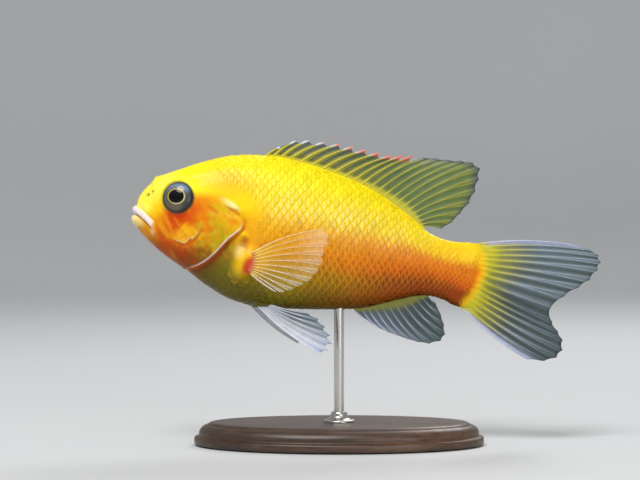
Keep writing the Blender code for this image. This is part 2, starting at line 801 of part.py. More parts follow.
def main():
    clear_scene()
    fish = new_collection("golden_cichlid")
    stand = new_collection("display_stand")
    workshop = new_collection("cutters")
    finishes = {name: make_finish(name) for name in FINISHES}
    make_head(fish, workshop, finishes)
    make_trunk(fish, workshop, finishes)
    make_fins(fish, workshop, finishes)
    make_stand(stand, finishes, belly_over_rod() - GAP)
    pose = bpy.data.objects.new("fish_pose", None)
    bpy.context.scene.collection.objects.link(pose)
    pose.location = SNOUT_PLACE
    pose.rotation_euler = (0.0, NOSE_UP, 0.0)
    for obj in fish.objects:
        obj.parent = pose
        shade(obj)
    for obj in stand.objects:
        shade(obj)


main()
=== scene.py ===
import math

import bmesh
import bpy
import numpy as np
from mathutils import Matrix, Vector


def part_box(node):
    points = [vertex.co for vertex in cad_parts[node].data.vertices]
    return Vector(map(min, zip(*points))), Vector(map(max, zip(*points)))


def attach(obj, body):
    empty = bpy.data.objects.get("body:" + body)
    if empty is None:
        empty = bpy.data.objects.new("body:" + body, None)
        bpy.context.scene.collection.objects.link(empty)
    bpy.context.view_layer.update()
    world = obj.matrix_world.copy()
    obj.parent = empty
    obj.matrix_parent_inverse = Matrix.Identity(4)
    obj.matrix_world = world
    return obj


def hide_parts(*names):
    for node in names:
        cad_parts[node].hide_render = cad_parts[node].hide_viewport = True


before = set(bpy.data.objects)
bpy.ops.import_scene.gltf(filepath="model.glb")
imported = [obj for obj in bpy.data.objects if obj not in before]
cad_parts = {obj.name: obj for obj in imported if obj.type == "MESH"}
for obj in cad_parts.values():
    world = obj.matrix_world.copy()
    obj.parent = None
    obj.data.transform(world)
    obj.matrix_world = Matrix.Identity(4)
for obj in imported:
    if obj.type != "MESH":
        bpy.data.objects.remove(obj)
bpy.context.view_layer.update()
print("frame loaded:", len(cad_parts), "nodes")

mm = 0.001

# The fish is shaped level, in millimetres, snout at the origin, tail towards +X and left side
# at -Y, and toWorld tips it nose up over its stand.
pose = {
    "noseUp": math.radians(9.0), "snout": np.array([-65.8, 0.0, 73.0]),
    "sway": 6.0, "swayStart": 48.0, "tailTip": 150.0,
}

palette = {   # screen colours, 0 to 255
    "lemon": (255, 238, 20), "paleLemon": (252, 242, 84), "citron": (206, 196, 40),
    "sun": (254, 222, 18), "gold": (255, 200, 12), "honey": (246, 178, 18), "amber": (230, 150, 12),
    "orange": (234, 122, 4), "deepOrange": (216, 90, 2), "redOrange": (206, 58, 2),
    "rust": (150, 60, 0), "umber": (108, 56, 6), "olive": (188, 158, 8), "leaf": (150, 150, 40),
    "moss": (104, 104, 20), "darkOlive": (92, 84, 18), "fern": (88, 110, 52), "teal": (36, 60, 50),
    "cream": (254, 236, 150), "peach": (242, 200, 142), "pinkWhite": (248, 226, 224),
    "whitish": (226, 230, 238), "lavender": (190, 196, 226), "mist": (150, 166, 180),
    "slate": (92, 108, 118), "smoke": (62, 76, 76), "pond": (44, 60, 56), "navy": (30, 40, 62),
    "scarlet": (206, 62, 36), "coral": (240, 104, 60), "ink": (4, 4, 8),
    "irisTopReflection": (120, 138, 156), "irisLow": (84, 94, 84), "irisDark": (40, 42, 44),
    "irisRust": (116, 82, 34), "ringGold": (214, 168, 76), "ringPale": (222, 210, 150),
}


def tone(name):
    # a palette colour as the linear values that materials use
    share = np.array(palette[name]) / 255
    return np.where(share <= 0.04045, share / 12.92, ((share + 0.055) / 1.055) ** 2.4)


def painted(colour, *layers):
    # named colours laid over one another, each with how far it covers a place
    for name, cover in layers:
        colour = colour + (tone(name) - colour) * np.clip(cover, 0, 1)[..., None]
    return colour


def turned(x, z, angle):
    # across and up in the side view after a turn
    c, s = math.cos(angle), math.sin(angle)
    return x * c + z * s, z * c - x * s


def toWorld(points):
    x, y, z = np.moveaxis(np.asarray(points, float), -1, 0)
    x, z = turned(x, z, pose["noseUp"])
    return (np.stack([x, y, z], -1) + pose["snout"]) * mm


def sway(x):
    behind = np.maximum(0, x - pose["swayStart"]) / (pose["tailTip"] - pose["swayStart"])
    return pose["sway"] * behind ** 2


def ramp(value, start, end):
    share = np.clip((np.asarray(value, float) - start) / (end - start), 0, 1)
    return share * share * (3 - 2 * share)


def fall(value, start, end):
    return 1 - ramp(value, start, end)


def ridge(value, centre, width):
    return np.exp(-((value - centre) / width) ** 2)


def ripple(a, b, seed, pitch=1.0):
    # a soft, repeatable unevenness between -1 and 1
    rng = np.random.default_rng(seed)
    waves, total = 5, 0
    for _ in range(waves):
        u, v, shift = rng.uniform(-1, 1, 2).tolist() + [rng.uniform(0, 6.28)]
        total = total + np.sin((a * u + b * v) * 6.28 / pitch + shift)
    return total / waves


def curveThrough(points, share):
    # smooth curve through evenly spaced points, read at shares from 0 to 1
    points = np.asarray(points, float)
    place = np.clip(np.asarray(share, float), 0, 1) * (len(points) - 1)
    i = np.minimum(place.astype(int), len(points) - 2)
    f = (place - i)[..., None]
    p1, p2 = points[i], points[i + 1]
    p0 = np.where((i > 0)[..., None], points[np.maximum(i - 1, 0)], 2 * p1 - p2)
    last = len(points) - 1
    p3 = np.where((i + 2 <= last)[..., None], points[np.minimum(i + 2, last)], 2 * p2 - p1)
    square = 2 * p0 - 5 * p1 + 4 * p2 - p3
    return 0.5 * (2 * p1 + (p2 - p0) * f + square * f ** 2 + (3 * p1 - p0 - 3 * p2 + p3) * f ** 3)


def smoothed(points, count):
    return curveThrough(points, np.linspace(0, 1, count))


def nearest(places, targets):
    # which target is nearest to each place, worked out in batches
    near, batch = np.empty(len(places), int), 2000000 // len(targets)
    for start in range(0, len(places), batch):
        gap = places[start:start + batch, None] - targets
        near[start:start + batch] = np.argmin((gap ** 2).sum(-1), axis=1)
    return near


def fromLine(line, x, z):
    # distance to a line drawn in the side view, positive on its left, and the share along it
    steps = 90
    path = smoothed(line, steps)
    tangent = np.gradient(path, axis=0)
    step = np.linalg.norm(tangent, axis=1)
    tangent /= step[:, None]
    flat = np.stack([np.ravel(x), np.ravel(z)], -1)
    near = nearest(flat, path)
    away, along = flat - path[near], tangent[near]
    side = along[:, 0] * away[:, 1] - along[:, 1] * away[:, 0]
    inside = (near > 0) & (near < steps - 1)
    reach = np.where(inside, side, np.linalg.norm(away, axis=1) * np.where(side < 0, -1, 1))
    share = np.clip((near + (along * away).sum(1) / step[near]) / (steps - 1), 0, 1)
    return reach.reshape(np.shape(x)), share.reshape(np.shape(x))


def evenTurn(count):
    return np.linspace(0, 2 * math.pi, count, endpoint=False)


def spot(x, z, at, size, turn=0.0, blur=0.6):
    # how far a soft oval covers a place of the side view, 0 to 1
    dx, dz = turned(x - at[0], z - at[1], math.radians(turn))
    return fall(np.hypot(dx / size[0], dz / size[1]), 1 - blur, 1 + blur)


# Body

body = {
    "rings": [   # back x and z, belly x and z, half width; the last ones sheathe the tail fin
        (1.3, 0.2, 1.3, 0.1, 0.1), (0.9, 3.2, 1.6, -2.8, 2.7), (1.2, 6.0, 3.0, -5.1, 4.0),
        (2.7, 8.8, 5.7, -7.3, 5.1), (4.3, 11.0, 9.0, -9.6, 6.1), (5.6, 13.0, 12.0, -11.4, 7.0),
        (8.6, 14.6, 15.2, -13.0, 7.8), (13.2, 17.0, 19.9, -15.3, 8.9),
        (20.2, 20.5, 27.0, -19.0, 10.1), (28.6, 23.6, 35.0, -22.0, 10.9),
        (39.1, 25.2, 45.0, -22.9, 11.2), (50.5, 24.7, 56.0, -21.8, 10.8),
        (64.0, 22.4, 67.0, -20.2, 9.6), (75.1, 19.2, 76.5, -18.2, 7.9),
        (86.5, 13.6, 86.5, -14.2, 5.9), (94.5, 9.1, 94.0, -11.4, 4.5),
        (101.0, 7.6, 100.5, -11.1, 3.5), (110.2, 8.0, 107.0, -12.8, 2.2),
        (111.9, 7.9, 109.0, -12.9, 1.5), (113.8, 7.6, 110.8, -12.7, 0.85),
        (115.9, 7.4, 112.8, -12.5, 0.42), (118.1, 7.2, 114.9, -12.3, 0.17),
        (120.4, 7.0, 117.1, -12.1, 0.04),
    ],
    "headCrown": 0.85, "trunkCrown": 1.12, "bellyFullness": 0.88, "crownSpan": (6.0, 10.0),
    "coatDepth": 0.32, "headEnd": 42.0,
    # centre, half sizes, turn and height of the pectoral roots; centre, half sizes and height of
    # the pelvic ones; side and ends of the ridges under the dorsal and anal fins
    "finRoots": [((38.4, -9.8), (2.7, 4.6), -24.0, 1.7), ((41.0, -9.6), (3.4, 5.4), -24.0, 0.35)],
    "pelvicRoots": ((45.5, 3.4, -21.8), (4.2, 1.9, 3.0), 0.9),
    "finRidges": [(1, (37, 44), (90, 95)), (-1, (73, 77), (94, 98))], "ridgeHeight": 0.35,
    "sides": 272, "sideShift": 0.2, "fineStep": 0.2, "coarseStep": 1.2, "fineRings": 10,
}
lastRing = len(body["rings"]) - 1

face = {
    "eyeAt": (14.15, 7.5), "eyeOpening": 4.9,
    "mouth": [(-4.0, 0.2), (-1.2, 0.2), (1.4, 0.25), (4.0, -1.15), (6.0, -2.5), (7.5, -3.6)],
    # middle, half width and height of each lip, at the front and how much they change at the side
    "lips": [((1.35, -0.3), (1.3, -0.28), (1.3, -0.5)), ((-1.65, 0.5), (1.6, -0.5), (1.55, -1.4))],
    "nostrils": [((4.4, 6.9), 0.32, 40.0), ((5.7, 8.1), 0.27, 25.0)],
    "cheekEdge": [(14.0, -5.4), (15.5, -6.1), (16.9, -6.3), (18.2, -6.7), (19.2, -6.2),
                  (20.2, -5.4), (21.3, -4.4), (22.2, -2.9), (22.9, -1.4), (23.3, 0.4),
                  (22.9, 2.4), (21.8, 4.4)],
    "gillEdge": [(27.8, 6.4), (29.8, 5.8), (32.2, 4.9), (34.6, 4.1), (35.8, 2.9), (35.7, 1.3),
                 (35.0, 0.1), (33.6, -1.4), (32.0, -3.1), (30.7, -5.0), (28.8, -7.8),
                 (26.5, -10.5), (24.1, -12.5), (21.9, -13.7), (19.2, -14.9)],
    "gillCrease": [(23.4, 6.6), (25.6, 5.4), (28.2, 3.7)],
    "flap": ((30.4, 8.0), (3.6, 0.95), -21.0),
    "throatFolds": {"count": 3, "pitch": 0.9, "slope": 0.42, "over": ((17.5, -13.0), (4.5, 2.6), 24)},
    "tailEdge": [(108.6, 10.0), (109.6, 8.1), (112.3, 5.6), (113.8, 2.4), (114.0, -1.5),
                 (113.2, -4.9), (112.0, -8.2), (110.3, -11.0), (109.0, -13.5)],
}

bumps = [   # soft ovals on the head: what, height in mm, centre, half sizes, turn, blur
    ("fold over the lip", 0.2, (5.4, 1.9), (3.0, 1.0), -42, 0.6),
    ("corner of the mouth", 0.4, (7.7, -3.9), (0.8, 1.8), 12, 0.6),
    ("crease behind the corner", -0.25, (9.0, -4.2), (0.5, 2.4), 14, 0.6),
    ("brow", 0.22, (14.5, 13.8), (7, 1.6), 18, 0.6),
    ("hollow before the eye", -0.3, (8.3, 4.6), (3.2, 2.6), 30, 0.6),
]
shoulderBumps = [   # the same, between the gill cover and the pectoral fin
    ("shoulder fold", 0.22, (36.4, -0.6), (2.0, 0.7), -28, 0.7),
    ("shoulder pocket", -0.32, (37.0, -2.8), (1.0, 1.3), 0, 0.7),
    ("pocket at the fin", -0.25, (37.1, -4.7), (1.1, 0.6), -10, 0.7),
]
pressedScales = {   # small scales sunk in the skin: height, pitch, row, centre, half sizes, turn, blur
    "cheek": (0.07, 1.7, 1.2, (18.5, -0.5), (6.5, 4.0), 30, 0.6),
    "gill cover": (0.12, 2.5, 1.8, (28.4, -1.6), (7.4, 7.6), -30, 0.3),
    "nape": (0.07, 1.9, 1.3, (22.0, 13.6), (8.0, 4.0), 16, 0.5),
    "shoulder": (0.13, 2.2, 1.5, (36.6, 1.0), (3.8, 7.0), 12, 0.5),
}


def ringAt(t):
    # back, belly and half width at a ring number, which need not be whole
    rows = curveThrough(body["rings"], np.asarray(t, float) / lastRing)
    return rows[..., 0:2], rows[..., 2:4], rows[..., 4]


def bodyAt(t, angle):
    # angle runs from the back down the right side to the belly and up the left side
    t, angle = np.broadcast_arrays(np.asarray(t, float), np.asarray(angle, float))
    top, bottom, halfWidth = ringAt(t)
    rise, across = np.cos(angle), np.sin(angle)
    start, end = body["crownSpan"]
    blend = np.clip((t - start) / (end - start), 0, 1)
    crown = body["headCrown"] + (body["trunkCrown"] - body["headCrown"]) * blend
    out = np.sign(across) * np.abs(across) ** np.where(rise > 0, crown, body["bellyFullness"])
    place = (top + bottom) / 2 + (top - bottom) / 2 * rise[..., None]
    return np.stack([place[..., 0], halfWidth * out + sway(place[..., 0]), place[..., 1]], -1)


def outward(t, angle):
    step = 0.01
    t = np.clip(t, step, lastRing - step)
    along = bodyAt(t + step, angle) - bodyAt(t - step, angle)
    normal = np.cross(along, bodyAt(t, angle + step) - bodyAt(t, angle - step))
    return normal / np.maximum(np.linalg.norm(normal, axis=-1, keepdims=True), 1e-9)


def cheekEdgeAt(x, z):
    # distance to the cheek plate's ragged edge, and the share along it
    edge, along = fromLine(face["cheekEdge"], x, z)
    return edge + 0.5 * ripple(x, z, 4, 2.6) + 0.3 * ripple(x, z, 9, 1.0), along


def cheekStreaks(x, z):
    return np.clip(ripple(x - 0.9 * z, 0.25 * (x + z), 14, 1.5), 0, 1)


def underFlap(x, z):
    # distance behind the middle of the flap at the top of the gill cover, and distance below it
    at, _, turn = face["flap"]
    reach, lean = x - at[0], math.radians(turn)
    return reach, reach * math.sin(lean) - (z - at[1]) * math.cos(lean)


def pressed(x, z, pitch, row):
    # height of sunk scales, from 0 at their roots to 1 at their free edges
    height, taken = np.zeros(x.shape), np.zeros(x.shape, bool)
    column = np.floor(x / (pitch / 2))
    root, rim, half = 0.6 * pitch, 0.66 * pitch, 1.1 * row
    for behind in (2, 1, 0, -1):
        i = column - behind
        j = np.round((z / row - i % 2) / 2) * 2 + i % 2
        dx, dz = x - i * pitch / 2, z - j * row
        edge = rim * np.sqrt(np.clip(1 - (dz / half) ** 2, 0, 1))
        covers = (dx < edge) & (dx > -root) & (np.abs(dz) < half) & ~taken
        height = np.where(covers, np.clip((dx + root) / (root + rim), 0, 1) ** 1.6, height)
        taken |= covers
    return height


def headRelief(x, y, z):
    # eye socket, with a soft raised rim
    reach = np.hypot(x - face["eyeAt"][0], z - face["eyeAt"][1]) - face["eyeOpening"]
    rise = 0.26 * ridge(reach, 0.45, 0.5) - 0.12 * ridge(reach, 1.6, 0.45)
    rise -= 2.2 * fall(reach, -0.85, 0.05)
    # lips round the mouth line
    above, _ = fromLine(face["mouth"], x, z)
    fade, side = fall(x, 6.6, 8.4), ramp(x, 1.0, 4.5)
    for lip, onLip in zip(face["lips"], (above > 0, above <= 0)):
        middle, half, height = (front + change * side for front, change in lip)
        roll = np.clip(1 - ((above - middle) / half) ** 2, 0, 1) ** 0.6
        rise += np.where(onLip, roll * height, 0) * fade
    rise -= (0.9 - 0.5 * side) * ridge(above, -0.08, 0.24) * fall(x, 6.9, 8.0)
    rise -= 0.3 * ridge(above, 2.65 - 0.45 * side, 0.3) * fade * ramp(x, 1.2, 3)
    for at, size, turn in face["nostrils"]:
        rise -= 0.55 * spot(x, z, at, (size * 1.25, size * 0.8), turn, 0.5)
        rise += 0.13 * ridge(np.hypot(x - at[0], z - at[1]), size * 2.1, 0.35)
    # small knob where the snout meets the forehead
    rise += 0.3 * ridge(x, 5.3, 0.8) * ridge(z, 13.0, 0.7) * ridge(y, 0, 2.5)
    for _, height, *oval in bumps:
        rise += height * spot(x, z, *oval)
    # cheek plate with its ragged edge
    edge, along = cheekEdgeAt(x, z)
    plate = 0.4 * np.exp(-np.maximum(edge, 0) / 2.2) * ramp(edge, -0.2, 0.1)
    rise += (plate - 0.2 * ridge(edge, -0.45, 0.45)) * ramp(along, 0, 0.12) * fall(along, 0.6, 0.95)
    rise += 0.16 * cheekStreaks(x, z) * spot(x, z, (18.6, -3.6), (5.0, 3.2), 38)
    # gill cover, highest along its rear edge, and the slot behind it
    edge, along = fromLine(face["gillEdge"], x, z)
    behind = edge + 0.12 * ripple(along * 14, x * 0, 12)
    cover = 0.62 * np.exp(-np.maximum(-behind, 0) / 4.5) * fall(behind, -0.1, 0.25)
    cover += 0.08 * ridge(behind, -0.3, 0.25)
    slot = 0.75 * np.exp(-np.maximum(behind - 0.3, 0) / 1.1) * ramp(behind, -0.1, 0.35)
    rise += (cover - slot) * fall(z, 2.4, 5.4) * (1 - 0.75 * ramp(along, 0.86, 1.0))
    limits = {"gill cover": behind < -0.8, "shoulder": ramp(behind, 0.8, 1.6)}
    for name, (height, pitch, row, *oval) in pressedScales.items():
        rise += height * pressed(x, z, pitch, row) * spot(x, z, *oval) * limits.get(name, 1)
    for _, height, *oval in shoulderBumps:
        rise += height * spot(x, z, *oval) * ramp(behind, 0.3, 1)
    # flap and crease at the top of the gill cover, and the folds of the throat
    reach, under = underFlap(x, z)
    rise += 0.62 * spot(x, z, *face["flap"], 0.22) * ramp(reach, -3.0, 2.0)
    rise -= 0.3 * ridge(under, 1.25, 0.4) * ramp(reach, -2.5, 1) * (reach < 3.6)
    crease, along = fromLine(face["gillCrease"], x, z)
    rise -= 0.16 * ridge(crease, 0, 0.5) * ramp(along, 0, 0.4) * fall(along, 0.6, 1)
    folds = face["throatFolds"]
    for k in range(folds["count"]):
        fold = z + 12.6 + folds["pitch"] * k - folds["slope"] * (x - 18)
        rise -= 0.1 * ridge(fold, 0, 0.22) * spot(x, z, *folds["over"])
    return rise


def tailRidges(x, z):
    # how near a place on the stem is to a ray of the tail fin under it, 0 to 1
    near = np.zeros(x.shape)
    for fin in (tailUpper, tailLower):
        rays = lastRay(fin)
        for ray in range(rays + 1):
            line = rayCurve(fin, guideRoot(fin), np.full(5, ray / rays), np.linspace(0.0, 0.36, 5))
            near = np.maximum(near, ridge(fromLine(line, x, z)[0], 0, 0.36))
    return near


def relief(place):
    # how far the skin stands out from the plain body, in mm
    x, y, z = place[..., 0], place[..., 1] - sway(place[..., 0]), place[..., 2]
    lift = -body["coatDepth"] * (1 - 0.9 * ramp(x, 98, 111))
    head, tail = x < body["headEnd"], x > 108
    lift[head] += headRelief(x[head], y[head], z[head])
    onStem = ramp(x[tail], 111, 114) * fall(x[tail], 114.5, 118)
    lift[tail] += 0.26 * tailRidges(x[tail], z[tail]) * onStem
    # fleshy roots of the paired fins, then the ridges that the dorsal and anal fins rise from
    for at, size, turn, height in body["finRoots"]:
        lift += height * spot(x, z, at, size, turn, 0.55)
    at, size, height = body["pelvicRoots"]
    gaps = [(value - a) / b for value, a, b in zip((x, np.abs(y), z), at, size)]
    lift += height * np.exp(-sum(gap ** 2 for gap in gaps) * 1.2)
    for way, front, rear in body["finRidges"]:
        lift += body["ridgeHeight"] * ridge(y, 0, 1.0) * (z * way > 0) * ramp(x, *front) * fall(x, *rear)
    return lift


def skinAt(t, angle):
    plain = bodyAt(t, angle)
    return plain + outward(t, angle) * relief(plain)[..., None]


def halfWidthAt(x, z):
    # how far the plain body reaches to its side at a place of the side view
    low, high, halvings = 0.0, float(lastRing), 26
    for _ in range(halvings):
        t = (low + high) / 2
        top, bottom, _ = ringAt(t)
        down = bottom - top
        before = down[0] * (z - top[1]) - down[1] * (x - top[0]) > 0
        low, high = (t, high) if before else (low, t)
    half = (top - bottom) / 2
    rise = ((x, z) - (top + bottom) / 2) @ half / (half @ half)
    return bodyAt(t, math.acos(rise))[1]


# Markings, with painted light and shade, shared by the skin, the scales and the roots of the fins

tones = [   # height on the side from back (1) to belly (-1), colour at the front, colour at the rear
    (1.0, "lemon", "sun"), (0.72, "lemon", "sun"), (0.45, "sun", "gold"), (0.2, "gold", "orange"),
    (0.0, "honey", "orange"), (-0.3, "amber", "deepOrange"), (-0.55, "olive", "rust"),
    # the belly end is dark partly from the fish's own olive and rust and partly from painted shade under
    # the body
    (-0.85, "moss", "rust"), (-1.0, "darkOlive", "umber"),
]

marks = [   # soft ovals: what, colour, centre, half sizes, turn, strength, blur
    ("head top", "lemon", (14, 12), (22, 14), 20, 1.0, 0.4),
    ("forehead", "paleLemon", (8.0, 10.5), (6.0, 5.0), 50, 0.7, 0.6),
    ("snout", "paleLemon", (3.4, 5.0), (3.6, 4.4), 30, 0.7, 0.6),
    ("cheek", "orange", (17.0, -2.0), (10.5, 8.5), 10, 1.0, 0.45),
    ("before cheek", "gold", (9.6, 1.6), (3.0, 4.4), 20, 0.75, 0.7),
    ("cheek low", "deepOrange", (14.0, -7.0), (6.5, 4.2), -38, 0.9, 0.6),
    ("cheek middle", "deepOrange", (15.5, -3.0), (5.0, 3.0), 20, 0.6, 0.8),
    ("under eye", "redOrange", (14.6, 1.2), (5.0, 2.6), 8, 0.95, 0.7),
    ("behind eye", "redOrange", (20.4, 5.4), (2.6, 3.4), 30, 0.75, 0.8),
    ("temple", "orange", (24.6, 8.0), (5.0, 2.2), 8, 0.75, 0.8),
    ("cheek plate", "honey", (18.6, -3.6), (4.6, 2.6), 32, 0.75, 0.6),
    ("gill cover", "olive", (28.6, -0.6), (7.6, 7.6), -28, 1.0, 0.35),
    ("gill light", "honey", (30.4, 3.2), (4.2, 2.6), -20, 0.7, 0.8),
    ("gill low", "umber", (24.2, -10.0), (4.4, 4.2), -40, 0.8, 0.8),
    ("jaw low", "rust", (14.6, -10.2), (5.4, 2.6), -40, 0.6, 0.8),
    ("throat", "rust", (20.5, -12.0), (6.0, 3.0), -34, 0.85, 0.6),
    ("opercle front", "orange", (23.8, 1.6), (2.4, 6.0), 12, 0.85, 0.7),
    ("chin", "amber", (4.8, -4.6), (5.2, 2.6), -50, 0.9, 0.6),
    ("lower lip", "cream", (2.2, -1.8), (2.2, 1.4), -35, 0.7, 0.6),
    ("chin low", "rust", (9.6, -9.6), (4.6, 1.8), -40, 0.6, 0.8),
    ("shoulder", "honey", (37.0, 0.0), (4.0, 4.0), 0, 0.6, 0.8),
    ("behind cover", "amber", (38.5, -1.0), (3.0, 5.0), 20, 0.6, 0.9),
    ("upper shoulder", "honey", (31.0, 13.5), (9.0, 4.0), -8, 0.8, 0.9),
    ("over pectoral", "honey", (48.0, 4.0), (12.0, 5.0), 4, 0.6, 0.9),
    ("pale band", "lemon", (60.0, 9.0), (26.0, 3.2), -6, 0.55, 0.9),
    # a painted highlight on the shoulder fold, and painted shade in the two pockets below it
    ("shoulder fold", "sun", (36.2, -0.6), (2.0, 0.8), -28, 0.8, 0.7),
    ("shoulder pocket", "rust", (37.0, -2.8), (1.3, 1.6), 0, 0.65, 0.8),
    ("pocket at the fin", "rust", (37.1, -4.7), (1.3, 0.7), -10, 0.75, 0.7),
    # painted shadow behind the lower edge of the gill cover
    ("shadow behind the gill", "umber", (29.6, -10.4), (3.0, 6.0), -34, 0.7, 0.8),
    ("green tint", "moss", (33.6, -12.2), (3.4, 5.4), -24, 0.75, 0.8),
    # the breast is darker partly from its own colour and partly from painted shade
    ("breast", "darkOlive", (34.0, -18.0), (12.0, 5.0), -14, 0.7, 0.7),
    # a painted highlight on the knob at the joint of the pectoral fin
    ("highlight on the fin joint", "cream", (36.3, -6.4), (1.5, 1.8), 0, 0.75, 0.95),
    ("fin root", "gold", (38.2, -9.2), (2.8, 5.0), -24, 0.7, 0.6),
    ("fin root red", "scarlet", (39.6, -9.8), (1.7, 2.9), -24, 0.95, 0.5),
    ("tail stem top", "gold", (103.0, 5.0), (9.0, 3.0), 0, 0.8, 0.8),
]

blotches = [   # uneven patches: centre, half sizes, turn, blur, and what mottles them
    ((17.5, -2.5), (9.5, 7.5), 20, 0.5, [("gold", 0.4, 1.6, 41, 2.6), ("redOrange", 0.45, 1.6, 42, 3.4)]),
    ((28.4, -1.4), (7.0, 7.6), -28, 0.4, [("citron", 0.5, 1.8, 43, 3.0), ("amber", 0.55, 1.8, 44, 2.2)]),
]


def groundColour(x, z, rise):
    # back to belly and front to rear, before any mark
    uneven = 0.05 * ripple(x, z, 21, 17) + 0.03 * ripple(x, z, 22, 5)
    height, rear = np.clip(rise + uneven, -1, 1), ramp(x, 42, 92)[..., None]
    levels, *sides = zip(*tones[::-1])
    ends = []
    for names in sides:
        channels = np.stack([tone(name) for name in names], -1)
        ends.append(np.stack([np.interp(height, levels, channel) for channel in channels], -1))
    return ends[0] * (1 - rear) + ends[1] * rear


def headLayers(x, z):
    # what is painted on the head over its marks, in this order
    layers = []
    for *oval, mottles in blotches:
        for name, strength, gain, seed, pitch in mottles:
            mottle = np.clip(gain * ripple(x, z, seed, pitch), 0, 1)
            layers.append((name, strength * spot(x, z, *oval) * mottle))
    layers.append(("orange", 0.6 * spot(x, z, (32.6, 2.6), (1.5, 0.8), -10, 0.8)))
    # lips, the tan fold at the corner of the mouth, and painted shade along the mouth line between the
    # lips
    above, _ = fromLine(face["mouth"], x, z)
    upper = ramp(above, -0.1, 0.1) * fall(above - 0.5 * fall(x, 1, 3), 1.75, 2.15)
    lower = fall(above, -0.1, 0.1) * fall(-above, 1.6, 3.0) * fall(x, 0.7, 2.6)
    layers += [
        ("cream", 0.5 * (above > 0) * fall(above, 2.4, 4.4) * fall(x, 3.0, 7.0)),
        ("pinkWhite", upper * fall(x, 6.9, 8.0)),
        ("pinkWhite", 0.8 * lower),
        ("peach", 0.6 * spot(x, z, (7.7, -4.2), (0.7, 1.7), 12)),
        ("rust", 0.5 * ridge(above, -0.1, 0.16) * ramp(x, 1.6, 3.0) * fall(x, 7.0, 8.0)),
    ]
    # an olive patch round each nostril, and painted shade inside its pit
    for at, size, turn in face["nostrils"]:
        layers.append(("olive", 0.5 * spot(x, z, at, (size * 2.2, size * 1.6), turn)))
        layers.append(("umber", 0.85 * spot(x, z, at, (size * 1.1, size * 0.7), turn, 0.5)))
    # cheek plate's pale ragged edge and the shadow under it
    edge, along = cheekEdgeAt(x, z)
    ends, streaks = ramp(along, 0.0, 0.12) * fall(along, 0.5, 0.8), cheekStreaks(x, z)
    broken = 0.35 + 0.6 * (0.45 + 0.55 * ripple(along * 17, x * 0.3, 6))
    layers += [
        ("gold", 0.5 * streaks * spot(x, z, (18.6, -3.6), (5.4, 3.4), 38)),
        ("cream", 0.5 * streaks ** 2 * spot(x, z, (19.0, -4.0), (4.6, 2.0), 38)),
        ("cream", broken * ends * ridge(edge, 0.26, 0.24)),
        ("deepOrange", 0.8 * ends * ridge(edge, -0.55, 0.5)),
    ]
    # gill cover's pale rim, painted shadow in the slot behind it, its flap with painted shade under it,
    # and painted shade in its crease
    edge, along = fromLine(face["gillEdge"], x, z)
    rim = ridge(edge, -0.24, 0.22) * ramp(along, 0.24, 0.36) * fall(along, 0.86, 1)
    reach, under = underFlap(x, z)
    flap = spot(x, z, *face["flap"], 0.25) * (0.25 + 0.75 * ramp(reach, -2.5, 1.5))
    crease, share = fromLine(face["gillCrease"], x, z)
    layers += [
        ("umber", 0.9 * ramp(edge, 0, 0.3) * fall(edge, 0.7, 2.6) * ramp(along, 0.46, 0.62)),
        ("deepOrange", 0.6 * ramp(edge, 0, 0.3) * fall(edge, 0.4, 1.6) * ramp(along, 0.2, 0.4)),
        ("pinkWhite", 0.9 * rim * (0.35 + 0.65 * ramp(along, 0.34, 0.46))),
        ("redOrange", 0.55 * ridge(under, 1.3, 0.5) * ramp(reach, -2, 1) * (reach < 4)),
        ("cream", flap),
        ("deepOrange", 0.6 * ridge(crease, 0, 0.6) * ramp(share, 0, 0.3) * fall(share, 0.7, 1)),
    ]
    # painted shade in the groove round the eye, stronger under and behind it, and the knob on the snout
    dx, dz = x - face["eyeAt"][0], z - face["eyeAt"][1]
    ring = ridge(np.hypot(dx, dz) - face["eyeOpening"], 0.2, 0.35)
    layers.append(("umber", ring * (0.35 + 0.5 * ramp(0.6 * dx - dz, -2, 4))))
    layers.append(("deepOrange", 0.5 * ridge(x, 5.0, 0.9) * ridge(z, 13.3, 0.6)))
    return layers


def tailTint(x, z):
    # the tail fin's own colours, for the skin that lies over its root
    places, tints = [], []
    for fin in (tailUpper, tailLower):
        rays, up = lastRay(fin), np.linspace(0, fin["sheathReach"], fin["sheathRows"])
        across = np.linspace(0, rays, rays * fin["sheathColumns"] + 1)
        ray, v = np.meshgrid(across, up, indexing="ij")
        places.append(rayCurve(fin, guideRoot(fin), ray / rays, v).reshape(-1, 2))
        tints.append(webTint(fin, ray, rays, v, fin["sheathGlow"]).reshape(-1, 3))
    return np.concatenate(tints)[nearest(np.stack([x, z], -1), np.concatenate(places))]


def markingsAndPaintedLight(place, rise):
    # colours at places on the plain body; rise runs from 1 on the back to -1 on the belly
    x, z = place[..., 0], place[..., 2]
    colour = groundColour(x, z, rise)
    for _, name, at, size, turn, strength, blur in marks:
        wobble = 1 + 0.12 * ripple(x, z, int(at[0] * 7) + 50, 6)
        cover = strength * spot(x * wobble + at[0] * (1 - wobble), z, at, size, turn, blur)
        colour = painted(colour, (name, cover))
    head = x < body["headEnd"]
    colour[head] = painted(colour[head], *headLayers(x[head], z[head]))
    # the scaled stem gives way to the rays of the tail fin in a soft curve
    beyond, along = fromLine(face["tailEdge"], x, z)
    ragged = beyond + 0.5 * ripple(along * 40, x * 0.05, 61)
    colour = painted(
        colour, ("gold", 0.8 * ramp(ragged, -3.0, -0.8)), ("citron", 0.7 * ramp(ragged, -1.4, 0.6)),
    )
    tail = beyond > -1.5
    if tail.any():
        cover = ramp(ragged[tail], -0.8, 1.4)[..., None]
        colour[tail] += (tailTint(x[tail], z[tail]) - colour[tail]) * cover
    return colour


# Meshes and node trees

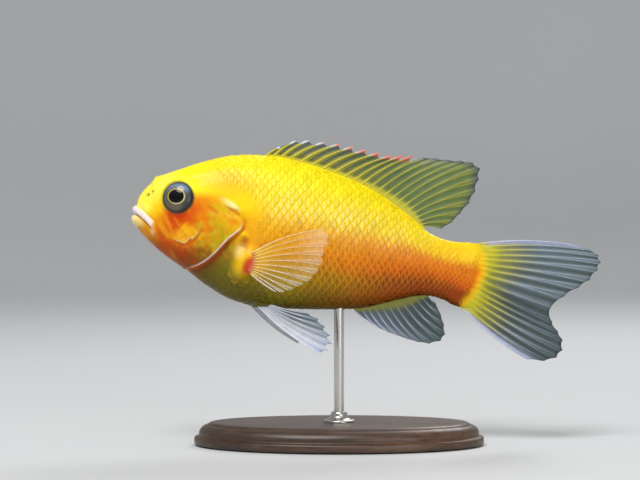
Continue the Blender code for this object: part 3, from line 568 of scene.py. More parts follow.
def newMesh(name, points, faces, edges=()):
    mesh = bpy.data.meshes.new(name)
    mesh.from_pydata(np.asarray(points, float).reshape(-1, 3).tolist(), list(edges), faces)
    if len(faces):
        mesh.shade_smooth()
        mesh.validate()
    return mesh


def newPiece(name, mesh, *materials):
    piece = bpy.data.objects.new(name, mesh)
    bpy.context.scene.collection.objects.link(piece)
    for material in materials:
        mesh.materials.append(material)
    return piece


def setAttributes(mesh, **attributes):
    # a number, a colour where the name is tint, or else a vector for each point
    for name, values in attributes.items():
        values = np.asarray(values, np.float32)
        kind, field = ("FLOAT", "value") if values.ndim == 1 else ("FLOAT_VECTOR", "vector")
        if name == "tint":
            kind, field = "FLOAT_COLOR", "color"
            values = np.column_stack([values, np.ones(len(values), np.float32)])
        mesh.attributes.new(name, kind, "POINT").data.foreach_set(field, np.ravel(values))


def gridFaces(rows, columns, closed=False, start=0):
    # quads over a grid of points, with its columns joined in a ring when closed
    i, j = np.meshgrid(np.arange(rows - 1), np.arange(columns - (not closed)), indexing="ij")
    after = (j + 1) % columns
    quads = [i * columns + j, i * columns + after, (i + 1) * columns + after, (i + 1) * columns + j]
    return (np.stack(quads, -1).reshape(-1, 4) + start).tolist()


def tubeFaces(rows, sides):
    # a tube of rings with both ends closed
    last = (rows - 1) * sides
    ends = [list(range(sides))[::-1], list(range(last, last + sides))]
    return gridFaces(rows, sides, closed=True) + ends


def fixNormals(piece):
    work = bmesh.new()
    work.from_mesh(piece.data)
    bmesh.ops.recalc_face_normals(work, faces=work.faces)
    work.to_mesh(piece.data)
    work.free()


def lathe(name, profile, segments, radii, material):
    # a profile of (inset from the rim, height) in mm, turned round an oval
    turn, rings = evenTurn(segments), []
    for inset, height in profile:
        x, y = (radii[0] - inset) * np.cos(turn), (radii[1] - inset) * np.sin(turn)
        rings.append(np.stack([x, y, np.full(segments, height)], -1))
    mesh = newMesh(name, np.concatenate(rings) * mm, tubeFaces(len(profile), segments))
    piece = newPiece(name, mesh, material)
    piece.data.set_sharp_from_angle(angle=math.radians(50))
    return piece


def setInputs(tree, node, inputs):
    # inputs are values, or the sockets that feed them
    for key, value in inputs.items():
        if isinstance(value, bpy.types.NodeSocket):
            tree.links.new(value, node.inputs[key])
        else:
            node.inputs[key].default_value = value


def addNode(tree, kind, inputs, output=0, **settings):
    node = tree.nodes.new(kind)
    for key, value in settings.items():
        setattr(node, key, value)
    setInputs(tree, node, inputs)
    return node.outputs[output]


def newTree(name, sockets):
    # a Geometry Nodes tree, what it is given and where its result goes
    tree = bpy.data.node_groups.new(name, "GeometryNodeTree")
    for label, kind in {"Geometry": "Geometry", **sockets}.items():
        tree.interface.new_socket(label, in_out="INPUT", socket_type="NodeSocket" + kind)
    tree.interface.new_socket("Geometry", in_out="OUTPUT", socket_type="NodeSocketGeometry")
    return tree, tree.nodes.new("NodeGroupInput").outputs, tree.nodes.new("NodeGroupOutput")


def growMesh(piece, tree, values):
    # runs a tree on a piece and keeps the plain mesh
    grower = piece.modifiers.new("grow", "NODES")
    grower.node_group = tree
    for item in tree.interface.items_tree:
        if item.in_out == "INPUT" and item.name in values:
            grower[item.identifier] = values[item.name]
    piece.update_tag()
    bpy.context.view_layer.update()
    graph = bpy.context.evaluated_depsgraph_get()
    mesh = bpy.data.meshes.new_from_object(piece.evaluated_get(graph))
    piece.modifiers.clear()
    piece.data = mesh
    print(piece.name + ":", len(mesh.polygons), "faces")


# Materials

wetFlesh = {"Coat Roughness": 0.12, "Coat IOR": 1.3, "Subsurface Radius": (1.0, 0.5, 0.2)}


def newMaterial(name, look):
    # the look gives the shader's inputs: plain values and sockets
    material = bpy.data.materials.new(name)
    material.use_nodes = True
    tree = material.node_tree
    setInputs(tree, tree.nodes["Principled BSDF"], look(tree))
    return material


def readAttribute(tree, name, output="Fac"):
    return addNode(tree, "ShaderNodeAttribute", {}, output, attribute_name=name)


def noiseAt(tree, scale, detail=3.0, stretch=(1, 1, 1)):
    place = addNode(tree, "ShaderNodeTexCoord", {}, "Object")
    spread = addNode(tree, "ShaderNodeMapping", {"Vector": place, "Scale": stretch})
    return addNode(tree, "ShaderNodeTexNoise", {"Vector": spread, "Scale": scale, "Detail": detail}, "Fac")


def remap(tree, value, low, high, newLow, newHigh, curve="LINEAR"):
    ends = {"From Min": low, "From Max": high, "To Min": newLow, "To Max": newHigh}
    return addNode(tree, "ShaderNodeMapRange", {"Value": value, **ends}, interpolation_type=curve)


def mottled(tree, low, high, scale, detail=3.0):
    # noise between two values
    return remap(tree, noiseAt(tree, scale, detail), 0.3, 0.7, low, high)


def mixColour(tree, share, first, second, blend="MIX"):
    colours = {0: share, 6: first, 7: second}
    return addNode(tree, "ShaderNodeMix", colours, 2, data_type="RGBA", blend_type=blend)


def tinted(tree, shade):
    # the piece's own colours, lighter and darker by a shade
    return mixColour(tree, 1.0, readAttribute(tree, "tint", "Color"), shade, "MULTIPLY")


def reckon(tree, operation, *values):
    # one step of arithmetic
    return addNode(tree, "ShaderNodeMath", dict(enumerate(values)), operation=operation)


def times(tree, first, second):
    return reckon(tree, "MULTIPLY", first, second)


def bumpFrom(tree, height, distance, strength, **more):
    inputs = {"Height": height, "Distance": distance, "Strength": strength, **more}
    return addNode(tree, "ShaderNodeBump", inputs)


def finelyLined(tree, value, count, distance, strength=0.5):
    # a relief of even lines
    return bumpFrom(tree, reckon(tree, "SINE", times(tree, value, count)), distance, strength)


def skinLook(tree):
    shade = times(tree, mottled(tree, 0.94, 1.05, 900, 4), mottled(tree, 0.94, 1.05, 4200, 2))
    pores = bumpFrom(tree, noiseAt(tree, 3000), 0.00006, 0.6)
    return {
        **wetFlesh, "Coat Weight": 0.14, "Specular IOR Level": 0.14,
        "Subsurface Weight": 0.12, "Subsurface Scale": 0.0012,
        "Base Color": tinted(tree, shade), "Roughness": mottled(tree, 0.3, 0.46, 700),
        "Normal": bumpFrom(tree, noiseAt(tree, 700, 2), 0.0002, 0.35, Normal=pores),
    }


def scaleLook(tree):
    place = addNode(tree, "ShaderNodeUVMap", {}, uv_map="platePlace")
    reach = addNode(tree, "ShaderNodeSeparateXYZ", {"Vector": place})
    tint, net, paintedGlint = (
        readAttribute(tree, name, output)
        for name, output in (("tint", "Color"), ("netting", "Fac"), ("paintedGlint", "Fac"))
    )
    deeper = mixColour(tree, 1.0, tint, (0.78, 0.6, 0.45, 1), "MULTIPLY")
    # the middle of each scale is deeper or carries a painted highlight, and its free edge is paler
    colour = tint
    for second, low, high, most, amount in (
        (deeper, 0.86, 0.5, 1.0, net), ((*tone("cream"), 1), 0.9, 0.6, 0.7, paintedGlint),
        ((*tone("honey"), 1), 0.78, 0.97, 0.5, net),
    ):
        share = times(tree, remap(tree, reach, low, high, 0.0, most, "SMOOTHSTEP"), amount)
        colour = mixColour(tree, share, colour, second)
    shade = times(tree, readAttribute(tree, "ownShade"), mottled(tree, 0.9, 1.08, 1500))
    rings = times(tree, readAttribute(tree, "raised"), 0.45)
    return {
        **wetFlesh, "Coat Weight": 0.16, "Specular IOR Level": 0.16,
        "Subsurface Weight": 0.08, "Subsurface Scale": 0.0008,
        "Base Color": mixColour(tree, 1.0, colour, shade, "MULTIPLY"),
        "Roughness": mottled(tree, 0.26, 0.42, 900),
        "Normal": finelyLined(tree, reach, 70.0, 0.00002, rings),
    }


def rayLook(tree):
    return {
        "Coat Weight": 0.2, "Roughness": 0.38,
        "Base Color": tinted(tree, mottled(tree, 0.86, 1.12, 1800, 2)),
        "Normal": finelyLined(tree, readAttribute(tree, "reach"), 220.0, 0.00002),   # joints
    }


def webLook(tree):
    return {
        "Coat Weight": 0.25, "Coat Roughness": 0.2, "Roughness": 0.4, "IOR": 1.4,
        "Base Color": tinted(tree, mottled(tree, 0.92, 1.08, 420, 4)),
        "Normal": finelyLined(tree, readAttribute(tree, "rayPlace"), 75.0, 0.00003),
        "Alpha": readAttribute(tree, "body"),
    }


def eyeLook(tree):
    return {
        "Coat Weight": 1.0, "Coat Roughness": 0.03, "Coat IOR": 1.3, "Roughness": 0.35,
        "Specular IOR Level": 0.06, "Metallic": readAttribute(tree, "gilt"),
        "Base Color": tinted(tree, mottled(tree, 0.86, 1.14, 5200)),
    }


def woodLook(tree):
    bands, figure = noiseAt(tree, 9, 4, (1.2, 9, 14)), noiseAt(tree, 60, 5, (1, 14, 14))
    grain = reckon(tree, "ADD", times(tree, bands, 0.65), times(tree, figure, 0.35))
    stain = addNode(tree, "ShaderNodeValToRGB", {"Fac": grain})
    stops = stain.node.color_ramp.elements
    stops[0].position, stops[0].color = 0.34, (0.018, 0.008, 0.004, 1)
    stops[1].position, stops[1].color = 0.68, (0.15, 0.07, 0.034, 1)
    stops.new(0.5).color = (0.06, 0.028, 0.013, 1)
    pores = remap(tree, noiseAt(tree, 520, 3, (1, 22, 22)), 0.58, 0.68, 0.0, 1.0)
    return {
        "Coat Weight": 0.25, "Coat Roughness": 0.3, "Roughness": remap(tree, figure, 0.3, 0.7, 0.34, 0.5),
        "Base Color": mixColour(tree, times(tree, pores, 0.6), stain, (0.01, 0.005, 0.003, 1)),
        "Normal": bumpFrom(tree, pores, -0.00008, 0.7),
    }


def steelLook(tree):
    brushed = noiseAt(tree, 1400, 3, (1, 1, 0.06))
    return {
        "Metallic": 1.0, "Anisotropic": 0.4, "Roughness": remap(tree, brushed, 0.3, 0.7, 0.2, 0.34),
        "Base Color": mixColour(tree, brushed, (0.5, 0.48, 0.45, 1), (0.66, 0.64, 0.6, 1)),
        "Normal": bumpFrom(tree, brushed, 0.00002, 0.4),
    }


def floorLook(tree):
    wash = mixColour(tree, noiseAt(tree, 3, 2), (0.62, 0.63, 0.64, 1), (0.66, 0.67, 0.675, 1))
    return {"Roughness": 0.8, "Specular IOR Level": 0.2, "Base Color": wash}


# Skin

def makeSkin(material):
    stations, sides = [0.0], body["sides"]
    for i, gap in enumerate(np.abs(np.diff(body["rings"], axis=0))):
        span = max(np.hypot(gap[0], gap[1]), np.hypot(gap[2], gap[3]))
        step = body["fineStep"] if i < body["fineRings"] else body["coarseStep"]
        count = math.ceil(span / step)
        stations += [i + (k + 1) / count for k in range(count)]
    even = evenTurn(sides)
    t, angle = np.meshgrid(stations, even + body["sideShift"] * np.sin(2 * even), indexing="ij")
    mesh = newMesh("fishSkin", toWorld(skinAt(t, angle)), tubeFaces(len(stations), sides))
    setAttributes(mesh, tint=markingsAndPaintedLight(bodyAt(t, angle), np.cos(angle)).reshape(-1, 3))
    print("skin:", len(mesh.polygons), "faces")
    return newPiece("fishSkin", mesh, material)


# Scales

coat = {
    "start": 14.0, "pitch": 2.45, "row": 1.8, "rows": 24, "ahead": 0.6,
    "frontShrink": (16.0, 42.0, 0.66), "rearShrink": (66.0, 112.0, 0.6),
    "fan": 7, "length": (-1.4, 1.66), "halfWidth": 1.96, "rootShare": 0.78,
    "heights": (-0.18, 0.03, 0.11, 0.07), "stops": (0.0, 0.45, 0.85, 1.0), "rim": 0.06,
    "bulge": 0.12, "sunk": 0.13, "leastHeight": 0.7, "leastWidth": 0.62,
    "jitter": 0.05, "shadeJitter": 0.05, "patch": 0.003, "sheet": 125.0, "sheetMargin": 0.02,
    "sheetRows": (0.25, 0.75),   # middle of the left and of the right side's scales on their map
    "finRoot": ((38.4, -9.8), (4.4, 6.4), -24.0, 0.4), "pocket": ((37.0, -3.0), (3.6, 4.2), 0, 0.3),
    # centre, half sizes, turn and blur of the band of painted highlight on the scales of the upper flank
    "paintedGlint": ((62, 8.5), (27, 5.5), -7, 0.8),
    "bare": [(15.0, 24.0), (18.0, 18.4), (21.6, 14.4), (26.0, 11.2), (30.6, 9.9), (34.4, 7.7),
             (36.8, 4.8), (36.9, 1.6), (35.9, -0.8), (34.1, -2.9), (32.2, -5.7), (30.0, -8.9),
             (27.4, -11.8), (24.4, -14.2), (19.6, -16.6)],
}


def makePlate():
    # one scale: a thin, domed plate with a round free edge, tail end towards +X
    count, half, (root, tip) = coat["fan"], coat["halfWidth"], coat["length"]
    fan = np.radians(np.linspace(-90, 90, count))
    rim = np.stack([np.cos(fan) * tip, np.sin(fan) * half], -1)
    foot = np.stack([np.full(count, root), np.sin(fan) * half * coat["rootShare"]], -1)
    rows, places = [], []
    for stop, height in zip(coat["stops"], coat["heights"]):
        flat = foot + (rim - foot) * stop
        rows.append(np.column_stack([flat, height - coat["bulge"] * (flat[:, 1] / half) ** 2]))
        places.append(np.column_stack([np.full(count, stop), (np.sin(fan) + 1) / 2]))
    rows += [rows[-1] - [0, 0, coat["rim"]], rows[0] - [0, 0, coat["rim"]]]
    places += [places[-1], places[0]]
    faces = gridFaces(len(rows), count)
    faces.append(list(range(count)) + [(len(rows) - 1) * count + k for k in range(count)][::-1])
    for column in (0, count - 1):
        side = [row * count + column for row in range(len(rows))]
        faces.append(side if column else side[::-1])
    mesh = newMesh("scalePlate", np.concatenate(rows) * mm, faces)
    layer, where = mesh.uv_layers.new(name="platePlace"), np.concatenate(places)
    for loop in mesh.loops:
        layer.data[loop.index].uv = where[loop.vertex_index]
    plate = newPiece("scalePlate", mesh)
    fixNormals(plate)
    plate.hide_render = True
    return plate


def shrinkAt(x):
    start, end, least = coat["frontShrink"]
    front = least + (1 - least) * ramp(x, start, end)
    start, end, least = coat["rearShrink"]
    return front * (1 - (1 - least) * ramp(x, start, end))


def scaleLattice():
    # columns of scales on one side, unrolled: u runs along the middle of the flank and w up from it
    stations, sides = 420, 181
    t, angle = np.linspace(0.5, lastRing - 0.05, stations), np.linspace(0.0, math.pi, sides)
    middle = bodyAt(t, np.full(t.shape, math.pi / 2))
    along = np.concatenate([[0], np.cumsum(np.linalg.norm(np.diff(middle, axis=0), axis=1))])
    steps = np.linalg.norm(np.diff(bodyAt(t[:, None], angle), axis=1), axis=2)
    around = np.concatenate([np.zeros((len(t), 1)), np.cumsum(steps, axis=1)], 1)
    around = around[:, [sides // 2]] - around

    def onSheet(u, rows):
        here = np.interp(u, along, t)
        place = np.interp(here, t, np.arange(len(t)))
        i = int(min(place, len(t) - 2))
        arc = around[i] * (1 - place + i) + around[i + 1] * (place - i)
        shrink = shrinkAt(np.interp(u, along, middle[:, 0]))
        w = rows * shrink
        inside = (w < arc[0] - 0.5) & (w > arc[-1] + 0.1)
        return np.full(len(rows), here), np.interp(-w, -arc, angle), w, arc[0] - w, inside, shrink

    columns, u, column = [], coat["start"], 0
    every = np.arange(-coat["rows"], coat["rows"] + 1)
    while u < along[-1] - 1.0:
        rows = every[(every + column) % 2 == 0] * coat["row"]
        t0, angle0, w, top, inside, shrink = onSheet(u, rows)
        t1, angle1, *_ = onSheet(u + coat["ahead"], rows)
        size, flank = np.full(len(rows), shrink), np.full(len(rows), u)
        columns.append(np.stack([t0, angle0, t1, angle1, size, flank, w, top])[:, inside])
        u += coat["pitch"] / 2 * shrink
        column += 1
    return dict(zip(("t", "angle", "tAhead", "angleAhead", "size", "u", "w", "top"), np.hstack(columns)))


def dressLattice():
    # the scales that show, how far they stand out, and their colours, with a painted highlight on the
    # upper flank
    spread = scaleLattice()
    plain = bodyAt(spread["t"], spread["angle"])
    x, z = plain[:, 0], plain[:, 2]
    behind, beyond = fromLine(coat["bare"], x, z)[0], fromLine(face["tailEdge"], x, z)[0]
    root, pocket = 1 - spot(x, z, *coat["finRoot"]), spot(x, z, *coat["pocket"])
    # they sink into the skin by the head, the fin and the tail, and none lies in the shoulder pocket
    raised = ramp(behind / (5.5 + 3.5 * ramp(z, 2, 9)), -0.15, 1) * (0.2 + 0.8 * root)
    raised = raised * (1 - 0.6 * ramp(beyond, -9, -1))
    keep = (behind > 0.8) & (root > 0.2) & (beyond < -1.4) & (raised > 0.22) & (pocket < 0.3)
    spread, raised = {key: values[keep] for key, values in spread.items()}, raised[keep]
    x, z, rise, top = x[keep], z[keep], np.cos(spread["angle"]), spread["top"]
    raised = raised * (0.3 + 0.7 * ramp(top, 0, 3.5)) * (1 - 0.45 * ramp(-rise, 0.5, 0.85))
    # painted highlight: paler middles of the scales in a band on the upper flank, where light would shine
    # on them
    paintedGlint = spot(x, z, *coat["paintedGlint"]) * np.clip(0.65 + 0.6 * ripple(x, z, 71, 9), 0, 1)
    netting = 0.2 + 0.8 * ramp(-rise, -0.75, 0.35) * ramp(x, 34, 62) * fall(-rise, 0.5, 0.9)
    narrow = coat["leastWidth"] + (1 - coat["leastWidth"]) * ramp(top, 0.4, 2.8)
    height = coat["leastHeight"] + (1 - coat["leastHeight"]) * raised
    size = spread["size"][:, None] * np.column_stack([np.ones(len(x)), narrow, height])
    looks = {
        "tint": markingsAndPaintedLight(plain[keep], rise), "netting": netting, "paintedGlint": paintedGlint, "raised": raised,
        "size": size,
    }
    return spread, looks


def makeScales(name, side, spread, looks, plate, tree, material, seed):
    rng = np.random.default_rng(seed)
    t, angle = spread["t"], spread["angle"] * side
    place, normal = skinAt(t, angle), outward(t, angle)
    lean = skinAt(spread["tAhead"], spread["angleAhead"] * side) - place
    lean -= normal * (lean * normal).sum(-1, keepdims=True)
    lean /= np.linalg.norm(lean, axis=-1, keepdims=True)
    across = np.cross(normal, lean)
    sunk = place - normal * coat["sunk"] * (1 - looks["raised"])[:, None]
    tip = Matrix.Rotation(pose["noseUp"], 3, "Y")
    turns = [(tip @ Matrix(axes).transposed()).to_euler() for axes in zip(lean, across, normal)]
    alongMap = coat["sheetMargin"] + spread["u"] / coat["sheet"]
    upMap = coat["sheetRows"][side > 0] + spread["w"] / coat["sheet"]
    mesh = newMesh(name, toWorld(sunk), [])
    setAttributes(
        mesh, lie=turns, rootPlace=np.column_stack([alongMap, upMap, np.zeros(len(t))]),
        ownShade=1 + rng.normal(0, coat["shadeJitter"], len(t)), **looks,
    )
    piece = newPiece(name, mesh)
    growMesh(piece, tree, {
        "Scale plate": plate, "Size jitter": coat["jitter"], "Patch size": coat["patch"],
        "Seed": seed, "Material": material,
    })
    piece.data.uv_layers["OFBake"].active_render = True
    return piece


def scaleTree():
    tree, given, result = newTree("scalesOnSkin", {
        "Scale plate": "Object", "Size jitter": "Float", "Patch size": "Float", "Seed": "Int",
        "Material": "Material",
    })

    def named(name):
        return addNode(tree, "GeometryNodeInputNamedAttribute", {"Name": name}, data_type="FLOAT_VECTOR")

    def scaled(vector, factor):
        return addNode(tree, "ShaderNodeVectorMath", {0: vector, "Scale": factor}, operation="SCALE")

    least, most = (reckon(tree, way, 1.0, given["Size jitter"]) for way in ("SUBTRACT", "ADD"))
    draw = addNode(tree, "FunctionNodeRandomValue", {2: least, 3: most, 8: given["Seed"]}, 1,
                   data_type="FLOAT")
    placed = addNode(tree, "GeometryNodeInstanceOnPoints", {
        "Points": given["Geometry"],
        "Instance": addNode(tree, "GeometryNodeObjectInfo", {"Object": given["Scale plate"]}, "Geometry"),
        "Rotation": addNode(tree, "FunctionNodeEulerToRotation", {0: named("lie")}),
        "Scale": scaled(named("size"), draw),
    })
    solid = addNode(tree, "GeometryNodeRealizeInstances", {"Geometry": placed})
    patch = {0: named("rootPlace"), 1: scaled(named("platePlace"), given["Patch size"])}
    where = addNode(tree, "ShaderNodeVectorMath", patch, operation="ADD")
    mapped = addNode(tree, "GeometryNodeStoreNamedAttribute", {
        "Geometry": solid, "Name": "OFBake", "Value": where,
    }, data_type="FLOAT2", domain="CORNER")
    smooth = addNode(tree, "GeometryNodeSetShadeSmooth", {"Geometry": mapped})
    dressed = {"Geometry": smooth, "Material": given["Material"]}
    setInputs(tree, result, {"Geometry": addNode(tree, "GeometryNodeSetMaterial", dressed)})
    return tree


# Fins. The tips have one entry for each ray, and spines come first.

finShape = {
    "columns": 14, "rows": 28, "web": 0.16, "sink": 0.05, "raySides": 6, "spineSteps": 18,
    "forkSteps": 9, "fork": 0.17, "secondFork": 0.075, "sag": 0.14,
    "wave": 1.35, "waveLength": 42.0, "calm": 0.2,
    # start, end, branches and thickness of each stretch of a soft ray
    "stretches": [(-0.05, 0.42, (0,), 1.0), (0.40, 0.70, (-1, 1), 0.74), (0.68, 1.0, (-3, -1, 1, 3), 0.5)],
}

dorsal = {
    "base": [39.4, 41.5, 44.0, 46.7, 50.3, 54.0, 57.6, 61.2, 64.8, 67.9, 70.6, 73.2,
             75.6, 77.9, 80.0, 82.0, 83.9, 85.6, 87.2, 88.6, 89.9, 91.0, 91.9],
    "tips": [(43.2, 28.3), (47.6, 30.9), (51.6, 31.8), (56.7, 32.0), (61.6, 32.2), (66.0, 31.9),
             (70.3, 31.6), (74.8, 31.4), (78.8, 31.2), (82.2, 31.7), (85.4, 32.2), (89.0, 32.4),
             (93.0, 32.7), (97.1, 32.9), (101.2, 33.2), (104.6, 33.2), (107.2, 31.7), (107.3, 28.2),
             (106.8, 24.3), (105.4, 20.2), (103.2, 16.6), (100.9, 13.3), (98.0, 10.9)],
    "spines": 11, "bow": (0.05, 0.05), "notch": (0.26, 0.03), "thick": (0.36, 0.2),
    "rayTones": [("citron", "citron", "whitish"), ("leaf", "leaf", "slate")],
    "webTones": [("darkOlive", "teal", "navy"), ("fern", "fern", "navy")],
    "edges": ((0.72, 0.84), (0.84, 1.02)), "glow": 0.75, "spineGlow": 0.25, "lappet": 0.2,
    "body": (0.97, 0.94, 0.92), "warm": ("citron", 0.12, 0.2), "tipGlow": ("coral", (3, 11)),
}
anal = {
    "base": [74.6, 76.6, 78.6, 80.6, 82.6, 84.6, 86.6, 88.6, 90.6, 92.7, 94.8, 96.9],
    "tips": [(79.8, -21.9), (82.9, -23.4), (86.0, -24.4), (89.5, -25.1), (93.0, -25.7),
             (96.5, -26.1), (100.0, -26.0), (103.3, -24.6), (104.4, -22.3), (103.6, -19.3),
             (102.1, -16.3), (99.8, -12.9)],
    "spines": 3, "bow": (-0.06, -0.06), "notch": (0.06, 0.03), "thick": (0.32, 0.17),
    "rayTones": [("mist", "lavender", "lavender"), ("slate", "mist", "slate")],
    "webTones": [("slate", "slate", "mist"), ("smoke", "pond", "pond")],
    "body": (0.95, 0.92, 0.88), "warm": ("leaf", 0.2, 0.3),
}
tailFin = {
    "notch": (0.02, 0.02), "thick": (0.36, 0.21), "body": (0.97, 0.93, 0.88),
    "warm": ("citron", 0.24, 0.62), "glow": 0.7, "rayGlow": 0.19, "sheathGlow": 0.95,
    "sheathReach": 0.4, "sheathColumns": 16, "sheathRows": 28,
}
tailUpper = {
    **tailFin, "spines": 1, "bow": (0.04, -0.005), "margin": ("lavender", 0.0),
    "base": [(110.7, 7.9), (110.1, 4.4), (109.6, 1.0), (109.1, -2.7)],
    "tips": [(141.5, 12.3), (146.6, 11.6), (149.4, 10.3), (150.5, 8.2), (149.9, 5.6),
             (147.9, 2.1), (144.8, -0.9), (140.6, -4.4), (136.6, -9.1)],
    "rayTones": [("citron", "mist", "mist"), ("citron", "mist", "mist")],
    "webTones": [("leaf", "slate", "smoke"), ("leaf", "smoke", "pond")],
}
tailLower = {
    **tailFin, "spines": 0, "bow": (-0.005, -0.04), "margin": ("lavender", 1.0),
    "base": [(109.1, -2.7), (108.5, -6.2), (108.0, -9.5), (107.5, -12.6)],
    "tips": [(136.6, -9.1), (138.0, -13.1), (140.4, -15.9), (142.3, -18.4), (142.7, -21.6),
             (141.2, -24.2), (137.4, -25.9), (132.0, -26.2)],
    "rayTones": [("citron", "slate", "slate"), ("citron", "mist", "slate")],
    "webTones": [("leaf", "pond", "pond"), ("leaf", "pond", "pond")],
}
pectoral = {
    "base": [(38.6, -7.4), (39.2, -9.0), (39.8, -10.8), (40.4, -12.4)],
    "tips": [(60.8, 4.7), (63.2, 3.1), (62.9, 0.3), (62.3, -2.6), (62.2, -5.6), (61.2, -8.5),
             (59.3, -11.4), (56.8, -13.6), (53.9, -15.4), (51.4, -16.6), (48.8, -16.7),
             (46.0, -15.6)],
    "spines": 1, "bow": (0.06, -0.03), "notch": (0.03, 0.03), "thick": (0.28, 0.14),
    "rayTones": [("cream", "peach", "peach"), ("cream", "pinkWhite", "whitish")],
    "webTones": [("gold", "honey", "peach"), ("honey", "olive", "olive")],
    "body": (0.8, 0.36, 0.32), "clearer": (0.5, 0.85, 0.5), "warm": ("scarlet", 0.16, 0.12),
    "at": (38.4, -9.8), "out": (0.44, 0.04), "curl": 0.004, "offset": 0.9,
}
pelvic = {
    "base": [(43.4, -21.7), (45.2, -21.5), (47.2, -21.3)],
    "tips": [(65.8, -33.7), (68.2, -32.6), (69.2, -30.2), (68.2, -27.8), (66.2, -25.4),
             (63.6, -23.4), (60.4, -22.2)],
    "spines": 1, "bow": (-0.05, -0.02), "notch": (0.04, 0.07), "thick": (0.34, 0.23),
    "rayTones": [("whitish", "whitish", "whitish"), ("whitish", "whitish", "mist")],
    "webTones": [("whitish", "whitish", "lavender"), ("lavender", "slate", "slate")],
    "body": (0.96, 0.94, 0.9), "warm": ("citron", 0.05, 0.06), "glow": 0.6,
    "at": (45.3, -21.6), "side": 3.4, "out": (0.30, -0.12), "curl": 0.003,
    "near": (0.0, 0.0, 1.0), "far": (math.radians(3.5), 3.4, 0.84),   # swing, shift ahead, scale
}


def lastRay(fin):
    return len(fin["tips"]) - 1


def rayCurve(fin, rootAt, share, v):
    # a place in the side view, share of the way across the fin and v of the way up its rays
    root, tip = rootAt(share), curveThrough(fin["tips"], share)
    along = tip - root
    first, last = fin["bow"]
    bow = (first + (last - first) * share)[..., None] * 2
    bend = root + along / 2 + np.stack([-along[..., 1], along[..., 0]], -1) * bow
    v = np.asarray(v)[..., None]
    return root * (1 - v) ** 2 + bend * 2 * v * (1 - v) + tip * v ** 2


def ridgeRoot(fin, edge):
    # roots on the ridge of the back (edge 0) or the belly (edge 1)
    line = ringAt(np.linspace(3, lastRing, 500))[edge]
    base = np.array([(x, 0.0) for x in fin["base"]])

    def rootAt(share):
        x = curveThrough(base, share)[..., 0]
        return np.stack([x, np.interp(x, line[:, 0], line[:, 1])], -1)
    return rootAt


def guideRoot(fin):
    return lambda share: curveThrough(fin["base"], share)


def webEdge(fin, ray):
    # how far up its rays the web reaches, with the scallops between them
    part = ray - np.floor(ray)
    saw = part ** 0.7 * fall(part, 0.86, 1.0)
    spiny, soft = fin["notch"]
    return 1 - np.where(ray < fin["spines"] - 0.001, spiny * saw, soft * np.sin(math.pi * part))


def finTint(fin, share, v, kind):
    # first row of tones leads at the front of the fin, second at its rear
    v, sets = np.clip(v, 0, 1), []
    for names, edge in zip(fin[kind], fin.get("edges", ((0.55, 0.98), (0.55, 0.98)))):
        root, middle, end = (tone(name) for name in names)
        inner, outer = ramp(v, 0.02, 0.5)[..., None], ramp(v, *edge)[..., None]
        sets.append(root + (middle - root) * inner + (end - middle) * outer)
    blend = ramp(share, 0.05, 0.75)[..., None]
    name, onWeb, onRays = fin["warm"]
    reach = onRays if kind == "rayTones" else onWeb
    layers = [(name, 0.9 * fall(v, 0.3 * reach, reach))]
    if "margin" in fin:
        name, outer = fin["margin"]
        layers.append((name, 0.85 * fall(np.abs(share - outer), 0.02, 0.14) * ramp(v, 0.02, 0.12)))
    if "tipGlow" in fin:
        name, (first, last) = fin["tipGlow"]
        ray = share * lastRay(fin)
        glow = ramp(ray, first - 1, first + 1) * fall(ray, last - 1, last)
        layers.append((name, 0.8 * glow * ramp(v - 0.97 + 0.02 * ray, -0.05, 0.06)))
    return painted(sets[0] * (1 - blend) + sets[1] * blend, *layers)


def forkAt(v):
    # how far the first fork of a soft ray has opened, in gaps between rays
    return finShape["fork"] * ramp(v, 0.36, 0.95)


def webTint(fin, ray, rays, v, glow):
    # the web takes some of the colour of the rays that it lies beside
    part = ray - np.floor(ray)
    forked = np.where(ray < fin["spines"] - 0.5, 0, forkAt(v))
    beside = np.maximum(np.abs(np.minimum(part, 1 - part) - 0.6 * forked) - 0.5 * forked, 0)
    spread = np.where(ray < fin["spines"], fin.get("spineGlow", 0.14), fin.get("rayGlow", 0.14))
    shine = glow * (1 - 0.5 * ramp(v, 0.35, 0.85)) * ridge(beside, 0, spread)
    web = finTint(fin, ray / rays, v, "webTones")
    return web + (finTint(fin, ray / rays, v, "rayTones") - web) * shine[..., None]


def webBodyAt(fin, share, v):
    # how solid the web is, from its root out to its edge
    start, end, less = fin.get("clearer", (0.0, 1.0, 0.0))
    return np.interp(v, (0, 0.5, 1), fin["body"]) * (1 - less * ramp(share, start, end))


def rayLines(fin, rays):
    # each spine is one line; a soft ray forks twice on its way out
    lines, sink, (spineThick, softThick) = [], finShape["sink"], fin["thick"]
    for ray in range(rays + 1):
        if ray < fin["spines"]:
            v = np.linspace(-sink, 1.0, finShape["spineSteps"])
            lappet = fin.get("lappet", 0) * ramp(v, 0.74, 0.86) * (1 - 0.6 * ramp(v, 0.93, 1.0))
            thick = spineThick * (1 - 0.66 * np.clip(v, 0, 1)) + lappet
            lines.append((np.full(len(v), float(ray)), v, thick))
            continue
        spread = 1.0 if 0 < ray < rays else 0.5
        edge = webEdge(fin, np.array([ray + 0.2]))[0]
        for start, end, forks, thick in finShape["stretches"]:
            for fork in forks:
                v = np.linspace(start, end, finShape["forkSteps"])
                second = (fork - 2 * np.sign(fork)) * finShape["secondFork"] * ramp(v, 0.66, 1.05)
                aside = np.sign(fork) * forkAt(v) + (second if len(forks) == 4 else 0)
                width = softThick * thick * (1 - 0.3 * (v - start) / (end - start))
                lines.append((np.clip(ray + aside * spread, 0, rays), np.minimum(v, edge), width))
    return lines


